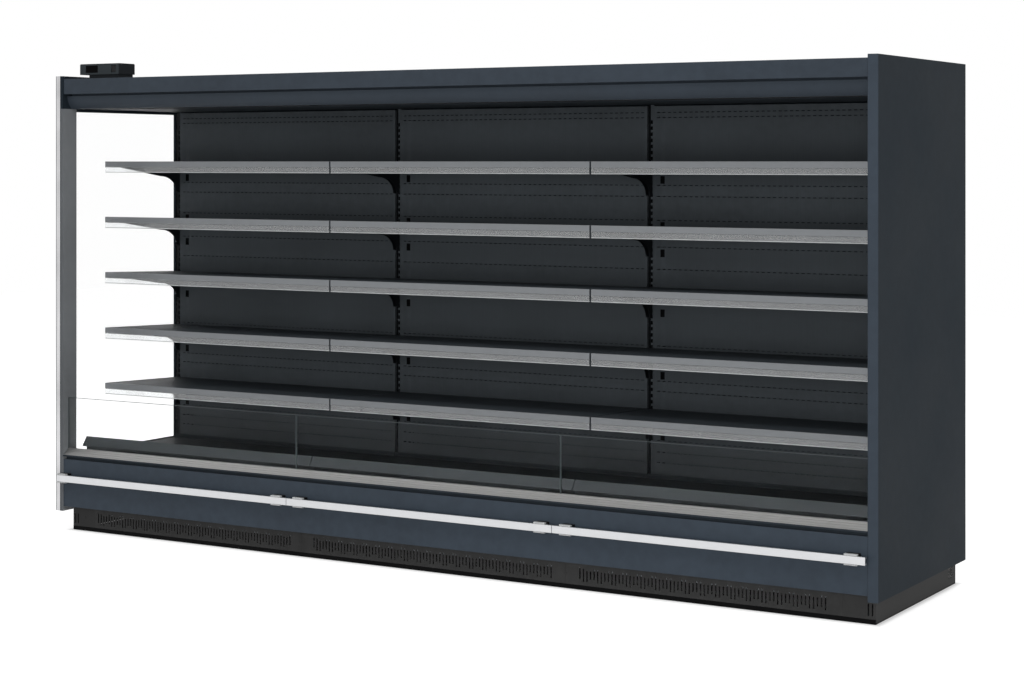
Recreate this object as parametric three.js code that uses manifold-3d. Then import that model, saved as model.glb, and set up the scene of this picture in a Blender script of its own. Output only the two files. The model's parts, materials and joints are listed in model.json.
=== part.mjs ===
// Open multideck display fridge for a remote plant: three bays, five shelf levels, a glazed left
// end wall and a solid right end wall. Millimetres: X runs along the front, Y from the front edge
// of the end walls to the back, Z up from the floor. Each mesh is one piece of the real cabinet.
import * as THREE from "three";
import { mergeVertices } from "three/addons/utils/BufferGeometryUtils.js";
import Module from "manifold-3d";

const wasm = await Module();
wasm.setup();

// ---------------------------------------------------------------- driving dimensions

const bayWidth = 1250; // one shelf module
const bayCount = 3;
const endWallThickness = 40;
const caseDepth = 937; // front edge of the end walls to the back of the rear wall
const caseTop = 2009; // top edge of the end walls
const caseBottom = 92; // bottom edge of the end walls
const sheet = 2; // sheet-metal thickness
const seat = 0.25; // clearance where two pieces bear on each other

const tubLevel = 115; // underside of the insulated tub
const tubFloorThickness = 55;
const tubFront = 22;
const tubWallThickness = 40;
const tubWallHeight = 205;
const gutterInset = 58; // front wall of the tub to the drain gutter
const gutterWidth = 70;
const gutterDepth = 10;
const drainRadius = 25;
const drainWall = 4;
const drainInset = 40; // drain centre behind the gutter
const spigotLength = 60;
const rearWallThickness = 60;

const roofDrop = 12.5; // roof surface below the end walls' top edge
const roofThickness = 60;
const ceilingDrop = 131.5; // roof surface down to the ceiling's underside
const canopyLeg = 60; // visor's rear leg; the roof starts behind the fascia's flange
const fasciaFace = 5;
const fasciaHeight = 67;
const fasciaReturn = 20;
const visorGap = 8.5; // dark slot between fascia and visor
const visorFace = 28;
const visorSweep = 28; // how far the visor runs back from its top to its lower edge
const visorLip = 8;
const lampDepth = 19.5;
const lampHeight = 18;
const lampEase = 3;
const lampEndGap = 15;
const outletDepth = 95.75;
const outletHeight = 20;
const outletRim = 8;
const outletWeb = 6;
const outletCellsPerBay = 4;
const hangerWidth = 60;
const hangerInset = 120; // hangers behind the air outlet
const hangerFromWall = 175;
const hangerFromJoint = 65;

const ductDepth = 100.75; // rear wall to the uprights' face
const rearPanelReturn = 20;
const rearPanelTopGap = 5;
const rearPanelFootGap = 13; // above the deck
const uprightWidth = 24;
const uprightGap = 8; // dark vertical gap beside each upright
const slotPitch = 25;
const slotHeight = 15;
const slotWidth = 8;
const slotCentre = 13; // from the bay joint
const endSlotCentre = 12; // from the right end wall
const slotsAboveTopShelf = 7;
const slotsBelowTopShelf = 45;
const socketWidth = 16;
const socketHeight = 32;
const socketOffset = 60; // socket centre from the bay joint
const socketDrops = [60, 249, 361, 607, 863, 1113]; // top edges below the top shelf

const shelfLevels = 5;
const topShelf = 1633; // shelf surface above the floor
const slotsPerShelf = 10; // shelf pitch, counted in upright slots
const shelfDepth = 505; // front of the ticket rail to the rear panels
const shelfJoint = 3.5; // half the gap between two shelves
const trayFlange = 25;
const trayRearGap = 10; // tray to rear panel, so that the shelf can tip up
const ticketHeight = 50;
const ticketDepth = 10;
const ticketLip = 6;
const bladeThickness = 2.5;
const bladeInset = 29; // bracket's tip behind the ticket rail's front
const bladeNose = 20;
const bladeTaperStart = 69; // from the ticket rail's front
const bladeTaperEnd = 136; // from the rear panels
const bladeTaperDepth = 64;
const bladeDepth = 141; // bracket's heel below the shelf surface
const heelWidth = 24;
const hookBearing = 21; // shelf surface down to the slot edge that carries the hook
const hookNeck = 8.75;
const hookThroat = 4; // free space behind the upright's web
const hookTip = 3;
const hookDrop = 8;
const hookSideGap = 0.75; // half the gap between two brackets that share a slot
const hookPlateDepth = 5;
const tongueSlot = 3; // the straight tongue sits this many slots below the hook
const tongueHeight = 10;

const deckLevel = 332;
const deckRearGap = 12; // deck pans to the rear panels
const deckRailFoot = 152; // where the floor of the deck pan turns up
const deckRailHeight = 73;
const deckRailRun = 27; // how far the rail slopes forward
const deckRailDrop = 37.5;
const deckRailHem = 3.5;
const deckJoint = 2;
const deckRearFlange = 20;

const profileNose = 336.5; // upper edge of the grooved profile's front lip
const profileTop = 366;
const profileRear = 46;
const profileFoot = 60;
const profileSlotDepth = 21;
const noseLip = 2.5;
const grooveWidth = 2.5;
const grooveDepth = 1.5;
const grooveCount = 3;
const glassThickness = 6;
const glassFace = 34;
const glassHeight = 245; // from the floor of its slot
const glassJoint = 1;

const panelFace = 5;
const panelTop = 321;
const panelFoot = 50; // how far the panel's lower flange reaches under the tub
const bumperFront = -34;
const bumperDepth = 12;
const bumperTop = 255.5;
const bumperHeight = 29.5;
const bumperWall = 2.5;
const bumperLip = 7;
const bumperJoint = 1;
const bumperOverrun = 5; // the end segments run past the bays by this much
const clipWidth = 49;
const clipInset = 55; // clip centre from the end of its segment
const clipAbove = 9;
const clipBelow = 5;
const clipEase = 3;

const plinthFront = 73;
const plinthRearInset = 15; // from the cabinet's back
const plinthLap = 4; // how far the plinth's sides stand under the end walls
const cornerWidth = 126;
const skirtHeight = 17;
const skirtThickness = 6;
const skirtProud = 1; // front lip ahead of the kick plates
const sideLipHeight = 4;
const kickSlotPitch = 15.4;
const kickSlotWidth = 6;
const kickSlotMargin = 50; // plain field at each end of a kick plate
const kickSlotTop = 77.5; // mean height of the slots' upper ends
const kickSlotFoot = 36.5; // mean height of their lower ends
const kickTopSway = 6;
const kickFootSway = 7;
const kickWaveSlots = 4; // slots to one wave
const sideSlotCount = 5; // slots at the rear of a plinth side

const windowFront = 88;
const windowRearGap = 21; // window to the rear panels' plane
const windowBottom = 332;
const windowTopGap = 12; // below the ceiling
const paneThickness = 24;
const paneBite = 8;
const paneShift = 2; // pane off the wall's middle, towards the inside
const trimWidth = 24;
const trimThickness = 2;
const wallEase = 3;

const frameRail = 50;
const frameFront = 120;
const frameRearInset = 27; // rear rail from the cabinet's back
const frameRearRail = 60;
const frameEndInset = 20;
const memberDrop = 5; // cross members are this much shallower than the rails
const footPad = 25;
const footHeight = 12;
const footStem = 9;

const fanPlateFace = 250;
const fanPlateFlange = 40;
const fanOpening = 144;
const fanCentreHeight = 80; // above the tub's floor
const fanBlades = 5;
const fanBladeThickness = 1.6;
const fanBladePitch = 24; // degrees
const impellerRadius = 67;
const hubRadius = 22;
const hubDepth = 22;
const motorRadius = 34;
const motorDepth = 62;
const motorGap = 14; // fan plate to motor
const motorArm = 8;
const coilInset = 90; // coil behind the fan plate
const coilRearGap = 76; // coil to the rear panels' plane
const coilEndGap = 95; // coil to the end walls
const coilFinCount = 8; // fin packs along the whole coil
const coilCore = 30; // tube core inside the fins' front and rear edges
const coilFootGap = 15;

const boxWidth = 224;
const boxFront = 70;
const boxDepth = 106;
const boxHeight = 47.5;
const boxLift = 19.5; // recessed foot under the control box
const boxInset = 37; // from the left end wall
const boxEase = 4;
const boxFootInset = 6;
const boxFootStart = 49;
const lensInset = 34;
const lensWidth = 70;
const lensRim = 8;
const lensDepth = 2.5;
const rockerWidth = 26;
const rockerHeight = 27;
const rockerInset = 30; // pivot from the box's right end
const rockerSink = 5; // pivot behind the box's face
const rockerWell = 12;
const rockerTilt = 8; // degrees to each side of upright

// ---------------------------------------------------------------- sizes worked out from them

const innerHalf = (bayWidth * bayCount) / 2;
const outerHalf = innerHalf + endWallThickness;
const fitHalf = innerHalf - seat;
const plinthHalf = innerHalf + plinthLap;
const plinthRear = caseDepth - plinthRearInset;
const roofTop = caseTop - roofDrop;
const roofUnderside = roofTop - roofThickness;
const ceilingLevel = roofTop - ceilingDrop;
const rearWallFront = caseDepth - rearWallThickness;
const rearPanelFace = rearWallFront - seat - ductDepth;
const tubFloor = tubLevel + tubFloorThickness;
const tubWallTop = tubLevel + tubWallHeight;
const lampFront = visorFace + visorSweep + visorLip + seat;
const outletFront = lampFront + lampDepth + seat;
const outletRear = outletFront + outletDepth;
const shelfPitch = slotsPerShelf * slotPitch;
const shelfFront = rearPanelFace - shelfDepth;
const trayRear = rearPanelFace - trayRearGap;
const slotTop = topShelf - (hookBearing - slotHeight) + slotsAboveTopShelf * slotPitch;
const slotCount = slotsAboveTopShelf + slotsBelowTopShelf + 1;
const deckRear = rearPanelFace - deckRearGap;
const glassSlotFloor = profileTop - profileSlotDepth;
const bumperBottom = bumperTop - bumperHeight;
const fanAxis = tubFloor + fanCentreHeight;

const bays = Array.from({ length: bayCount }, (_, bay) => bay);
const jointX = (index) => index * bayWidth - innerHalf;
const bayCentre = (bay) => jointX(bay) + bayWidth / 2;
const bayName = (bay) => ["left", "middle", "right"][bay] ?? `bay${bay + 1}`;

// ---------------------------------------------------------------- finishes

const finish = (color, roughness, metalness = 0) =>
  new THREE.MeshStandardMaterial({ color, roughness, metalness });

const graphite = finish(0x3c444c, 0.5, 0.2);
const graphiteDark = finish(0x2f3439, 0.55, 0.2);
const blackSteel = finish(0x0b0c0e, 0.5, 0.2);
const brightAluminium = finish(0xd8d8da, 0.3, 0.9);
const satinAluminium = finish(0x96938e, 0.45, 0.8);
const galvanised = finish(0x8f949a, 0.45, 0.7);
const clearGlass = finish(0xe6efee, 0.05);
const whitePlastic = finish(0xe9e9e6, 0.5);
const blackPlastic = finish(0x17181a, 0.55);
const blackRubber = finish(0x0c0c0d, 0.8);

// ---------------------------------------------------------------- solids

/** A closed three.js geometry as a solid that can be joined and cut. */
function solid(geometry) {
  const bare = geometry.index ? geometry.toNonIndexed() : geometry.clone();
  bare.deleteAttribute("normal");
  bare.deleteAttribute("uv");
  const merged = mergeVertices(bare, 1e-4);
  return new wasm.Manifold(
    new wasm.Mesh({
      numProp: 3,
      vertProperties: merged.attributes.position.array,
      triVerts: new Uint32Array(merged.index.array),
    }),
  );
}

function geometryOf(body) {
  const mesh = body.getMesh();
  const stride = mesh.numProp;
  const position = new Float32Array(mesh.numVert * 3);
  for (let i = 0; i < mesh.numVert; i++) {
    position.set(mesh.vertProperties.subarray(i * stride, i * stride + 3), i * 3);
  }
  const geometry = new THREE.BufferGeometry();
  geometry.setAttribute("position", new THREE.BufferAttribute(position, 3));
  geometry.setIndex(new THREE.BufferAttribute(new Uint32Array(mesh.triVerts), 1));
  geometry.computeVertexNormals();
  return geometry;
}

const join = (...bodies) => bodies.flat().reduce((whole, body) => whole.add(body));
const cut = (body, ...tools) => tools.flat().reduce((rest, tool) => rest.subtract(tool), body);

/** A block between three pairs of limits. */
function block([x0, x1], [y0, y1], [z0, z1]) {
  const box = new THREE.BoxGeometry(x1 - x0, y1 - y0, z1 - z0);
  return solid(box.translate((x0 + x1) / 2, (y0 + y1) / 2, (z0 + z1) / 2));
}

const outline = (points) => new THREE.Shape(points.map(([u, v]) => new THREE.Vector2(u, v)));

function extruded(shape, depth, matrix, segments = 6) {
  const settings = { depth, bevelEnabled: false, curveSegments: segments };
  return solid(new THREE.ExtrudeGeometry(shape, settings).applyMatrix4(matrix));
}

const axes = (u, v, w) => new THREE.Matrix4().makeBasis(u, v, w);
const unitX = new THREE.Vector3(1, 0, 0);
const unitY = new THREE.Vector3(0, 1, 0);
const unitZ = new THREE.Vector3(0, 0, 1);
const shapeOf = (drawn) => (Array.isArray(drawn) ? outline(drawn) : drawn);

/** A (Y, Z) outline drawn out along X. */
const alongX = (drawn, x0, x1, segments) =>
  extruded(shapeOf(drawn), x1 - x0, axes(unitY, unitZ, unitX).setPosition(x0, 0, 0), segments);

/** An (X, Z) outline drawn out along Y. */
const alongY = (drawn, y0, y1, segments) =>
  extruded(
    shapeOf(drawn),
    y1 - y0,
    axes(unitX, unitZ, unitY.clone().negate()).setPosition(0, y1, 0),
    segments,
  );

/** An (X, Y) outline drawn out along Z. */
const alongZ = (drawn, z0, z1, segments) =>
  extruded(shapeOf(drawn), z1 - z0, new THREE.Matrix4().setPosition(0, 0, z0), segments);

/** Points of a round outline. */
const circle = (u, v, radius, sides = 12) =>
  Array.from({ length: sides }, (_, index) => {
    const angle = (2 * Math.PI * (index + 0.5)) / sides;
    return [u + radius * Math.cos(angle), v + radius * Math.sin(angle)];
  });

// ---------------------------------------------------------------- scene graph

const cabinet = new THREE.Group();
cabinet.position.y = -(bumperFront + caseDepth) / 2;

function assembly() {
  const group = new THREE.Group();
  cabinet.add(group);
  return group;
}

function place(group, name, body, material, position = [0, 0, 0]) {
  const mesh = new THREE.Mesh(body.isBufferGeometry ? body : geometryOf(body), material);
  mesh.name = name;
  mesh.position.set(...position);
  group.add(mesh);
  return mesh;
}

// ---------------------------------------------------------------- base: frame, tub, plinth

/** Welded frame of two long rails and four cross members, on eight levelling feet. */
function baseFrame() {
  const top = tubLevel - seat;
  const height = [top - frameRail, top];
  const reach = innerHalf - frameEndInset;
  const frontRail = [frameFront, frameFront + frameRail];
  const rearEdge = caseDepth - frameRearInset;
  const rearRail = [rearEdge - frameRearRail, rearEdge];
  const parts = [
    block([-reach, reach], frontRail, height),
    block([-reach, reach], rearRail, height),
  ];
  for (let index = 0; index <= bayCount; index++) {
    const x = THREE.MathUtils.clamp(jointX(index), -reach + frameRail / 2, reach - frameRail / 2);
    const width = [x - frameRail / 2, x + frameRail / 2];
    const across = [frontRail[1] - memberDrop, rearRail[0] + memberDrop];
    parts.push(block(width, across, [height[0] + memberDrop, top - memberDrop]));
    for (const rail of [frontRail, rearRail]) {
      const y = (rail[0] + rail[1]) / 2;
      parts.push(alongZ(circle(x, y, footPad, 8), 0, footHeight));
      parts.push(alongZ(circle(x, y, footStem, 4), footHeight - 1, height[0] + 1));
    }
  }
  return join(parts);
}

/** Insulated tub with a drain gutter and a spigot under it. */
function baseTub() {
  const rear = rearWallFront - seat;
  const front = tubFront;
  const inner = tubFront + tubWallThickness;
  const gutterFront = inner + gutterInset;
  const gutterRear = gutterFront + gutterWidth;
  const trough = alongX(
    [
      [front, tubLevel],
      [rear, tubLevel],
      [rear, tubFloor],
      [gutterRear, tubFloor],
      [gutterRear - gutterDepth, tubFloor - gutterDepth],
      [gutterFront + gutterDepth, tubFloor - gutterDepth],
      [gutterFront, tubFloor],
      [inner, tubFloor],
      [inner, tubWallTop],
      [front, tubWallTop],
    ],
    -fitHalf,
    fitHalf,
  );
  const x = bayCentre(0);
  const y = gutterRear + drainInset;
  const mouth = tubLevel - spigotLength;
  const spigot = alongZ(circle(x, y, drainRadius + drainWall), mouth, tubLevel + drainWall);
  const bore = alongZ(circle(x, y, drainRadius), mouth - 1, tubFloor + 1);
  return cut(trough.add(spigot), bore);
}

/** Cutters for a kick plate's slots: their height rises and falls along the plate as a wave. */
function waveSlots(from, to) {
  const depth = [plinthFront - 1, plinthFront + sheet + 1];
  const count = Math.floor((to - from) / kickSlotPitch);
  const start = (from + to - (count - 1) * kickSlotPitch) / 2;
  return Array.from({ length: count }, (_, index) => {
    const u = start + index * kickSlotPitch;
    const phase = (2 * Math.PI * (index + 0.5)) / kickWaveSlots;
    const low = kickSlotFoot + kickFootSway * Math.cos(phase);
    const high = kickSlotTop + kickTopSway * Math.sin(phase);
    return block([u - kickSlotWidth / 2, u + kickSlotWidth / 2], depth, [low, high]);
  });
}

/** One lift-off kick plate: a slotted face with a flange that hooks over the frame. */
function kickPlate(bay) {
  const last = bayCount - 1;
  const corner = plinthHalf - cornerWidth;
  const from = bay === 0 ? -corner + seat : jointX(bay) + seat;
  const to = bay === last ? corner - seat : jointX(bay + 1) - seat;
  const low = skirtHeight + seat;
  const high = tubLevel - seat;
  const face = block([from, to], [plinthFront, plinthFront + sheet], [low, high]);
  const flange = block([from, to], [plinthFront, frameFront - seat], [high - sheet, high]);
  return cut(face.add(flange), waveSlots(from + kickSlotMargin, to - kickSlotMargin));
}

/** Corner piece of the plinth: a short front leg and the whole side of the base. */
function plinthCorner(side) {
  const low = skirtHeight + seat;
  const wallLow = caseBottom - seat;
  const high = tubLevel - seat;
  const outer = plinthHalf;
  const inner = outer - cornerWidth;
  const frontFace = alongY(
    [[inner, low], [outer, low], [outer, wallLow], [fitHalf, wallLow], [fitHalf, high], [inner, high]],
    plinthFront,
    plinthFront + sheet,
  );
  const behindLip = plinthFront - skirtProud + skirtThickness + seat;
  const sideLow = sideLipHeight + seat;
  const sideFace = alongX(
    [
      [plinthFront, low],
      [behindLip, low],
      [behindLip, sideLow],
      [plinthRear, sideLow],
      [plinthRear, wallLow],
      [plinthFront, wallLow],
    ],
    outer - sheet,
    outer,
  );
  const half = kickSlotWidth / 2;
  const slotHeights = [kickSlotFoot - kickFootSway, kickSlotTop - kickTopSway];
  const slots = [1, 2].map((step) => {
    const x = outer - step * kickSlotPitch + half;
    return block([x - half, x + half], [plinthFront - 1, plinthFront + sheet + 1], slotHeights);
  });
  for (let step = 1; step <= sideSlotCount; step++) {
    const y = plinthRear - step * kickSlotPitch;
    slots.push(block([outer - sheet - 1, outer + 1], [y - half, y + half], slotHeights));
  }
  const corner = cut(frontFace.add(sideFace), slots);
  return side < 0 ? corner.mirror([1, 0, 0]) : corner;
}

/** Rubber lip that closes the plinth to the floor: tall at the front, low at the sides. */
function skirt() {
  const front = plinthFront - skirtProud;
  const rear = front + skirtThickness;
  const lips = [-1, 1].map((side) => {
    const across = [side * plinthHalf, side * (plinthHalf - 2 * sheet)].sort((a, b) => a - b);
    return block(across, [rear - 1, plinthRear], [0, sideLipHeight]);
  });
  return join(block([-plinthHalf, plinthHalf], [front, rear], [0, skirtHeight]), lips);
}

// ---------------------------------------------------------------- casework

function rearWall() {
  return block([-fitHalf, fitHalf], [rearWallFront, caseDepth], [tubLevel, roofUnderside - seat]);
}

function roof() {
  return block([-fitHalf, fitHalf], [canopyLeg + seat, caseDepth], [roofUnderside, roofTop]);
}

/** Solid end wall: a foam-filled panel with eased front edges. */
function solidEndWall() {
  return alongZ(
    [
      [innerHalf, wallEase],
      [innerHalf + wallEase, 0],
      [outerHalf - wallEase, 0],
      [outerHalf, wallEase],
      [outerHalf, caseDepth],
      [innerHalf, caseDepth],
    ],
    caseBottom,
    caseTop,
  );
}

const windowRear = rearPanelFace - windowRearGap;
const windowTop = ceilingLevel - windowTopGap;
const paneMiddle = -(innerHalf + outerHalf) / 2 + paneShift;

/** Glazed end wall: a frame with a rebate for the bright front trim and a groove for the pane. */
function glazedEndWall() {
  const x = [-outerHalf, -innerHalf];
  const body = block(x, [0, caseDepth], [caseBottom, caseTop]);
  const opening = block([x[0] - 1, x[1] + 1], [windowFront, windowRear], [windowBottom, windowTop]);
  const half = paneThickness / 2 + seat;
  const groove = block(
    [paneMiddle - half, paneMiddle + half],
    [windowFront - paneBite, windowRear + paneBite],
    [windowBottom - paneBite, windowTop + paneBite],
  );
  const full = [caseBottom - 1, caseTop + 1];
  const trimFront = block([x[0] - 1, x[0] + trimWidth + seat], [-1, trimThickness + seat], full);
  const trimSide = block([x[0] - 1, x[0] + trimThickness + seat], [-1, trimWidth + seat], full);
  return cut(body, opening, groove, trimFront, trimSide);
}

function endPane() {
  const bite = paneBite - seat;
  return block(
    [paneMiddle - paneThickness / 2, paneMiddle + paneThickness / 2],
    [windowFront - bite, windowRear + bite],
    [windowBottom - bite, windowTop + bite],
  );
}

/** Bright corner trim down the front edge of the glazed end wall. */
function endTrim() {
  const x = -outerHalf;
  return alongZ(
    [
      [x, 0],
      [x + trimWidth, 0],
      [x + trimWidth, trimThickness],
      [x + trimThickness, trimThickness],
      [x + trimThickness, trimWidth],
      [x, trimWidth],
    ],
    caseBottom,
    caseTop,
  );
}

/** Front panel: a sheet with a flange along its top and bottom. */
function frontPanel() {
  const rear = tubFront - seat;
  const low = tubLevel - seat - sheet;
  return alongX(
    [
      [panelFace, low],
      [panelFoot, low],
      [panelFoot, low + sheet],
      [panelFace + sheet, low + sheet],
      [panelFace + sheet, panelTop - sheet],
      [rear, panelTop - sheet],
      [rear, panelTop],
      [panelFace, panelTop],
    ],
    -fitHalf,
    fitHalf,
  );
}

/** Grooved profile on the front wall: it closes the panel and holds the riser glass. */
function frontProfile() {
  const slopeEnd = glassFace - seat;
  const slopeTop = profileTop - sheet / 4;
  const length = Math.hypot(slopeEnd, slopeTop - profileNose);
  const along = [slopeEnd / length, (slopeTop - profileNose) / length];
  const normal = [along[1], -along[0]];
  const spacing = length / (grooveCount + 1);
  const slope = [];
  for (let index = 1; index <= grooveCount; index++) {
    const start = spacing * index - grooveWidth / 2;
    const end = start + grooveWidth;
    const at = (distance, depth) => [
      along[0] * distance + normal[0] * depth,
      profileNose + along[1] * distance + normal[1] * depth,
    ];
    slope.push(at(start, 0), at(start, grooveDepth), at(end, grooveDepth), at(end, 0));
  }
  const front = tubFront + sheet;
  const glassRear = glassFace + glassThickness + seat;
  const seatLevel = tubWallTop + seat;
  return alongX(
    [
      [0, profileNose - noseLip],
      [0, profileNose],
      ...slope,
      [slopeEnd, slopeTop],
      [slopeEnd, glassSlotFloor],
      [glassRear, glassSlotFloor],
      [glassRear, profileTop],
      [profileRear, profileTop],
      [profileRear, glassSlotFloor - 2 * sheet],
      [profileFoot, seatLevel + 5 * sheet],
      [profileFoot, seatLevel],
      [front, seatLevel],
      [front, profileNose - noseLip],
    ],
    -fitHalf,
    fitHalf,
  );
}

function riserGlass(bay) {
  const half = bayWidth / 2 - glassJoint;
  return block(
    [-half, half],
    [glassFace, glassFace + glassThickness],
    [glassSlotFloor + seat, glassSlotFloor + glassHeight],
  );
}

/** One bumper segment with its two clips, which reach back to the front panel. */
function bumper(bay) {
  const last = bayCount - 1;
  const from = bay === 0 ? -innerHalf - bumperOverrun : jointX(bay) + bumperJoint;
  const to = bay === last ? innerHalf + bumperOverrun : jointX(bay + 1) - bumperJoint;
  const back = bumperFront + bumperDepth;
  const inside = back - bumperWall;
  const rail = alongX(
    [
      [bumperFront, bumperBottom],
      [back, bumperBottom],
      [back, bumperBottom + bumperLip],
      [inside, bumperBottom + bumperLip],
      [inside, bumperBottom + bumperWall],
      [bumperFront + bumperWall, bumperBottom + bumperWall],
      [bumperFront + bumperWall, bumperTop - bumperWall],
      [inside, bumperTop - bumperWall],
      [inside, bumperTop - bumperLip],
      [back, bumperTop - bumperLip],
      [back, bumperTop],
      [bumperFront, bumperTop],
    ],
    from,
    to,
  );
  const low = bumperBottom - clipBelow;
  const high = bumperTop + clipAbove;
  const upper = [
    [bumperFront, bumperTop - 1],
    [panelFace - seat, bumperTop - clipEase],
    [panelFace - seat, high],
    [bumperFront + clipEase, high],
    [bumperFront, high - clipEase],
  ];
  const lower = [
    [bumperFront, bumperBottom + 1],
    [bumperFront, low + clipEase],
    [bumperFront + clipEase, low],
    [back, low],
    [back, bumperBottom + 1],
  ];
  const web = [
    [back - 1, low],
    [back + clipEase, low],
    [back + clipEase, bumperTop],
    [back - 1, bumperTop],
  ];
  const clips = [from + clipInset, to - clipInset].flatMap((x) =>
    [upper, lower, web].map((drawn) => alongX(drawn, x - clipWidth / 2, x + clipWidth / 2)),
  );
  return join(rail, clips);
}

// ---------------------------------------------------------------- canopy

/** Upper fascia: a folded sheet with a flange on the roof side and a short return below. */
function fascia() {
  const low = roofTop - fasciaHeight;
  return alongX(
    [
      [fasciaFace, low],
      [fasciaFace + fasciaReturn, low],
      [fasciaFace + fasciaReturn, low + sheet],
      [fasciaFace + sheet, low + sheet],
      [fasciaFace + sheet, roofTop - sheet],
      [canopyLeg, roofTop - sheet],
      [canopyLeg, roofTop],
      [fasciaFace, roofTop],
    ],
    -fitHalf,
    fitHalf,
  );
}

/** Curved visor under the fascia, hung from the roof by its rear leg. */
function visor() {
  const high = roofTop - fasciaHeight - visorGap;
  const low = ceilingLevel;
  const foot = visorFace + visorSweep;
  const belly = (high - low) / 2.4; // height of the curve's control point
  const shape = new THREE.Shape();
  shape.moveTo(visorFace, high);
  shape.quadraticCurveTo(visorFace + sheet, low + belly, foot, low);
  shape.lineTo(foot + visorLip, low);
  shape.lineTo(foot + visorLip, low + sheet);
  shape.lineTo(foot + sheet / 2, low + sheet);
  shape.quadraticCurveTo(visorFace + 2.25 * sheet, low + belly + 1, visorFace + sheet, high - sheet);
  shape.lineTo(canopyLeg + sheet, high - sheet);
  shape.lineTo(canopyLeg + sheet, roofUnderside - seat);
  shape.lineTo(canopyLeg, roofUnderside - seat);
  shape.lineTo(canopyLeg, high);
  shape.closePath();
  return alongX(shape, -fitHalf, fitHalf, 6);
}

/** Lamp profile between the visor and the air outlet. */
function canopyLamp() {
  const front = lampFront;
  const rear = front + lampDepth;
  const low = ceilingLevel;
  return alongX(
    [
      [front, low + lampEase],
      [front + lampEase, low],
      [rear - lampEase, low],
      [rear, low + lampEase],
      [rear, low + lampHeight],
      [front, low + lampHeight],
    ],
    -innerHalf + lampEndGap,
    innerHalf - lampEndGap,
  );
}

/** Air outlet: a straightener of parallel cells along the canopy. */
function airOutlet() {
  const cells = [];
  const low = ceilingLevel;
  const high = low + outletHeight;
  for (const bay of bays) {
    const pitch = (bayWidth - 2 * outletRim) / outletCellsPerBay;
    for (let index = 0; index < outletCellsPerBay; index++) {
      const from = jointX(bay) + outletRim + index * pitch;
      const width = [from + outletWeb / 2, from + pitch - outletWeb / 2];
      const depth = [outletFront + outletRim, outletRear - outletRim];
      cells.push(block(width, depth, [low - 1, high + 1]));
    }
  }
  return cut(block([-fitHalf, fitHalf], [outletFront, outletRear], [low, high]), cells);
}

/** Ceiling sheet under the air duct, hung from the roof by four hangers. */
function ceilingPanel() {
  const front = outletRear + seat;
  const low = ceilingLevel;
  const panel = alongX(
    [
      [front, low],
      [rearPanelFace - seat, low],
      [rearPanelFace - seat, low + sheet],
      [front + sheet, low + sheet],
      [front + sheet, low + outletHeight],
      [front, low + outletHeight],
    ],
    -fitHalf,
    fitHalf,
  );
  const places = bays.slice(1).map((bay) => jointX(bay) - Math.sign(jointX(bay)) * hangerFromJoint);
  places.push(-innerHalf + hangerFromWall, innerHalf - hangerFromWall);
  const depth = [outletRear + hangerInset, outletRear + hangerInset + sheet];
  const hangers = places.map((x) =>
    block([x - hangerWidth / 2, x + hangerWidth / 2], depth, [low + 1, roofUnderside - seat]),
  );
  return join(panel, hangers);
}

// ---------------------------------------------------------------- rear duct and uprights

/** Left and right edge of a bay's rear panel. */
function panelSpan(bay) {
  const left = jointX(bay) + uprightWidth + seat;
  const right =
    bay === bayCount - 1
      ? jointX(bay + 1) - uprightWidth - uprightGap
      : jointX(bay + 1) - uprightGap;
  return [left, right];
}

/** Rear duct panel: a shallow pan open to the back, with the lamp sockets cut through it. */
function rearPanel(bay) {
  const [left, right] = panelSpan(bay);
  const low = deckLevel + rearPanelFootGap;
  const high = ceilingLevel - rearPanelTopGap;
  const face = rearPanelFace;
  const pan = block([left, right], [face, face + rearPanelReturn], [low, high]);
  const hollow = block(
    [left + sheet, right - sheet],
    [face + sheet, face + rearPanelReturn + 1],
    [low + sheet, high - sheet],
  );
  const x = jointX(bay) + socketOffset;
  const width = [x - socketWidth / 2, x + socketWidth / 2];
  const sockets = socketDrops.map((drop) => {
    const top = topShelf - drop;
    return block(width, [face - 1, face + sheet + 1], [top - socketHeight, top]);
  });
  return cut(pan, hollow, sockets);
}

/** Slotted upright: a channel open to the back, with hook slots down its face. */
function upright(index) {
  const atEnd = index === bayCount;
  const left = atEnd ? innerHalf - uprightWidth - seat : jointX(index) + (index ? 0 : seat);
  const right = atEnd ? innerHalf - seat : jointX(index) + uprightWidth;
  const centre = atEnd ? innerHalf - endSlotCentre : jointX(index) + slotCentre;
  const front = rearPanelFace;
  const rear = rearWallFront - seat;
  const channel = alongZ(
    [
      [left, front],
      [right, front],
      [right, rear],
      [right - sheet, rear],
      [right - sheet, front + sheet],
      [left + sheet, front + sheet],
      [left + sheet, rear],
      [left, rear],
    ],
    tubFloor + seat,
    roofUnderside - seat,
  );
  const slots = Array.from({ length: slotCount }, (_, step) => {
    const top = slotTop - step * slotPitch;
    const width = [centre - slotWidth / 2, centre + slotWidth / 2];
    return block(width, [front - 1, front + sheet + 1], [top - slotHeight, top]);
  });
  return cut(channel, slots);
}

// ---------------------------------------------------------------- shelves

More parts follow.
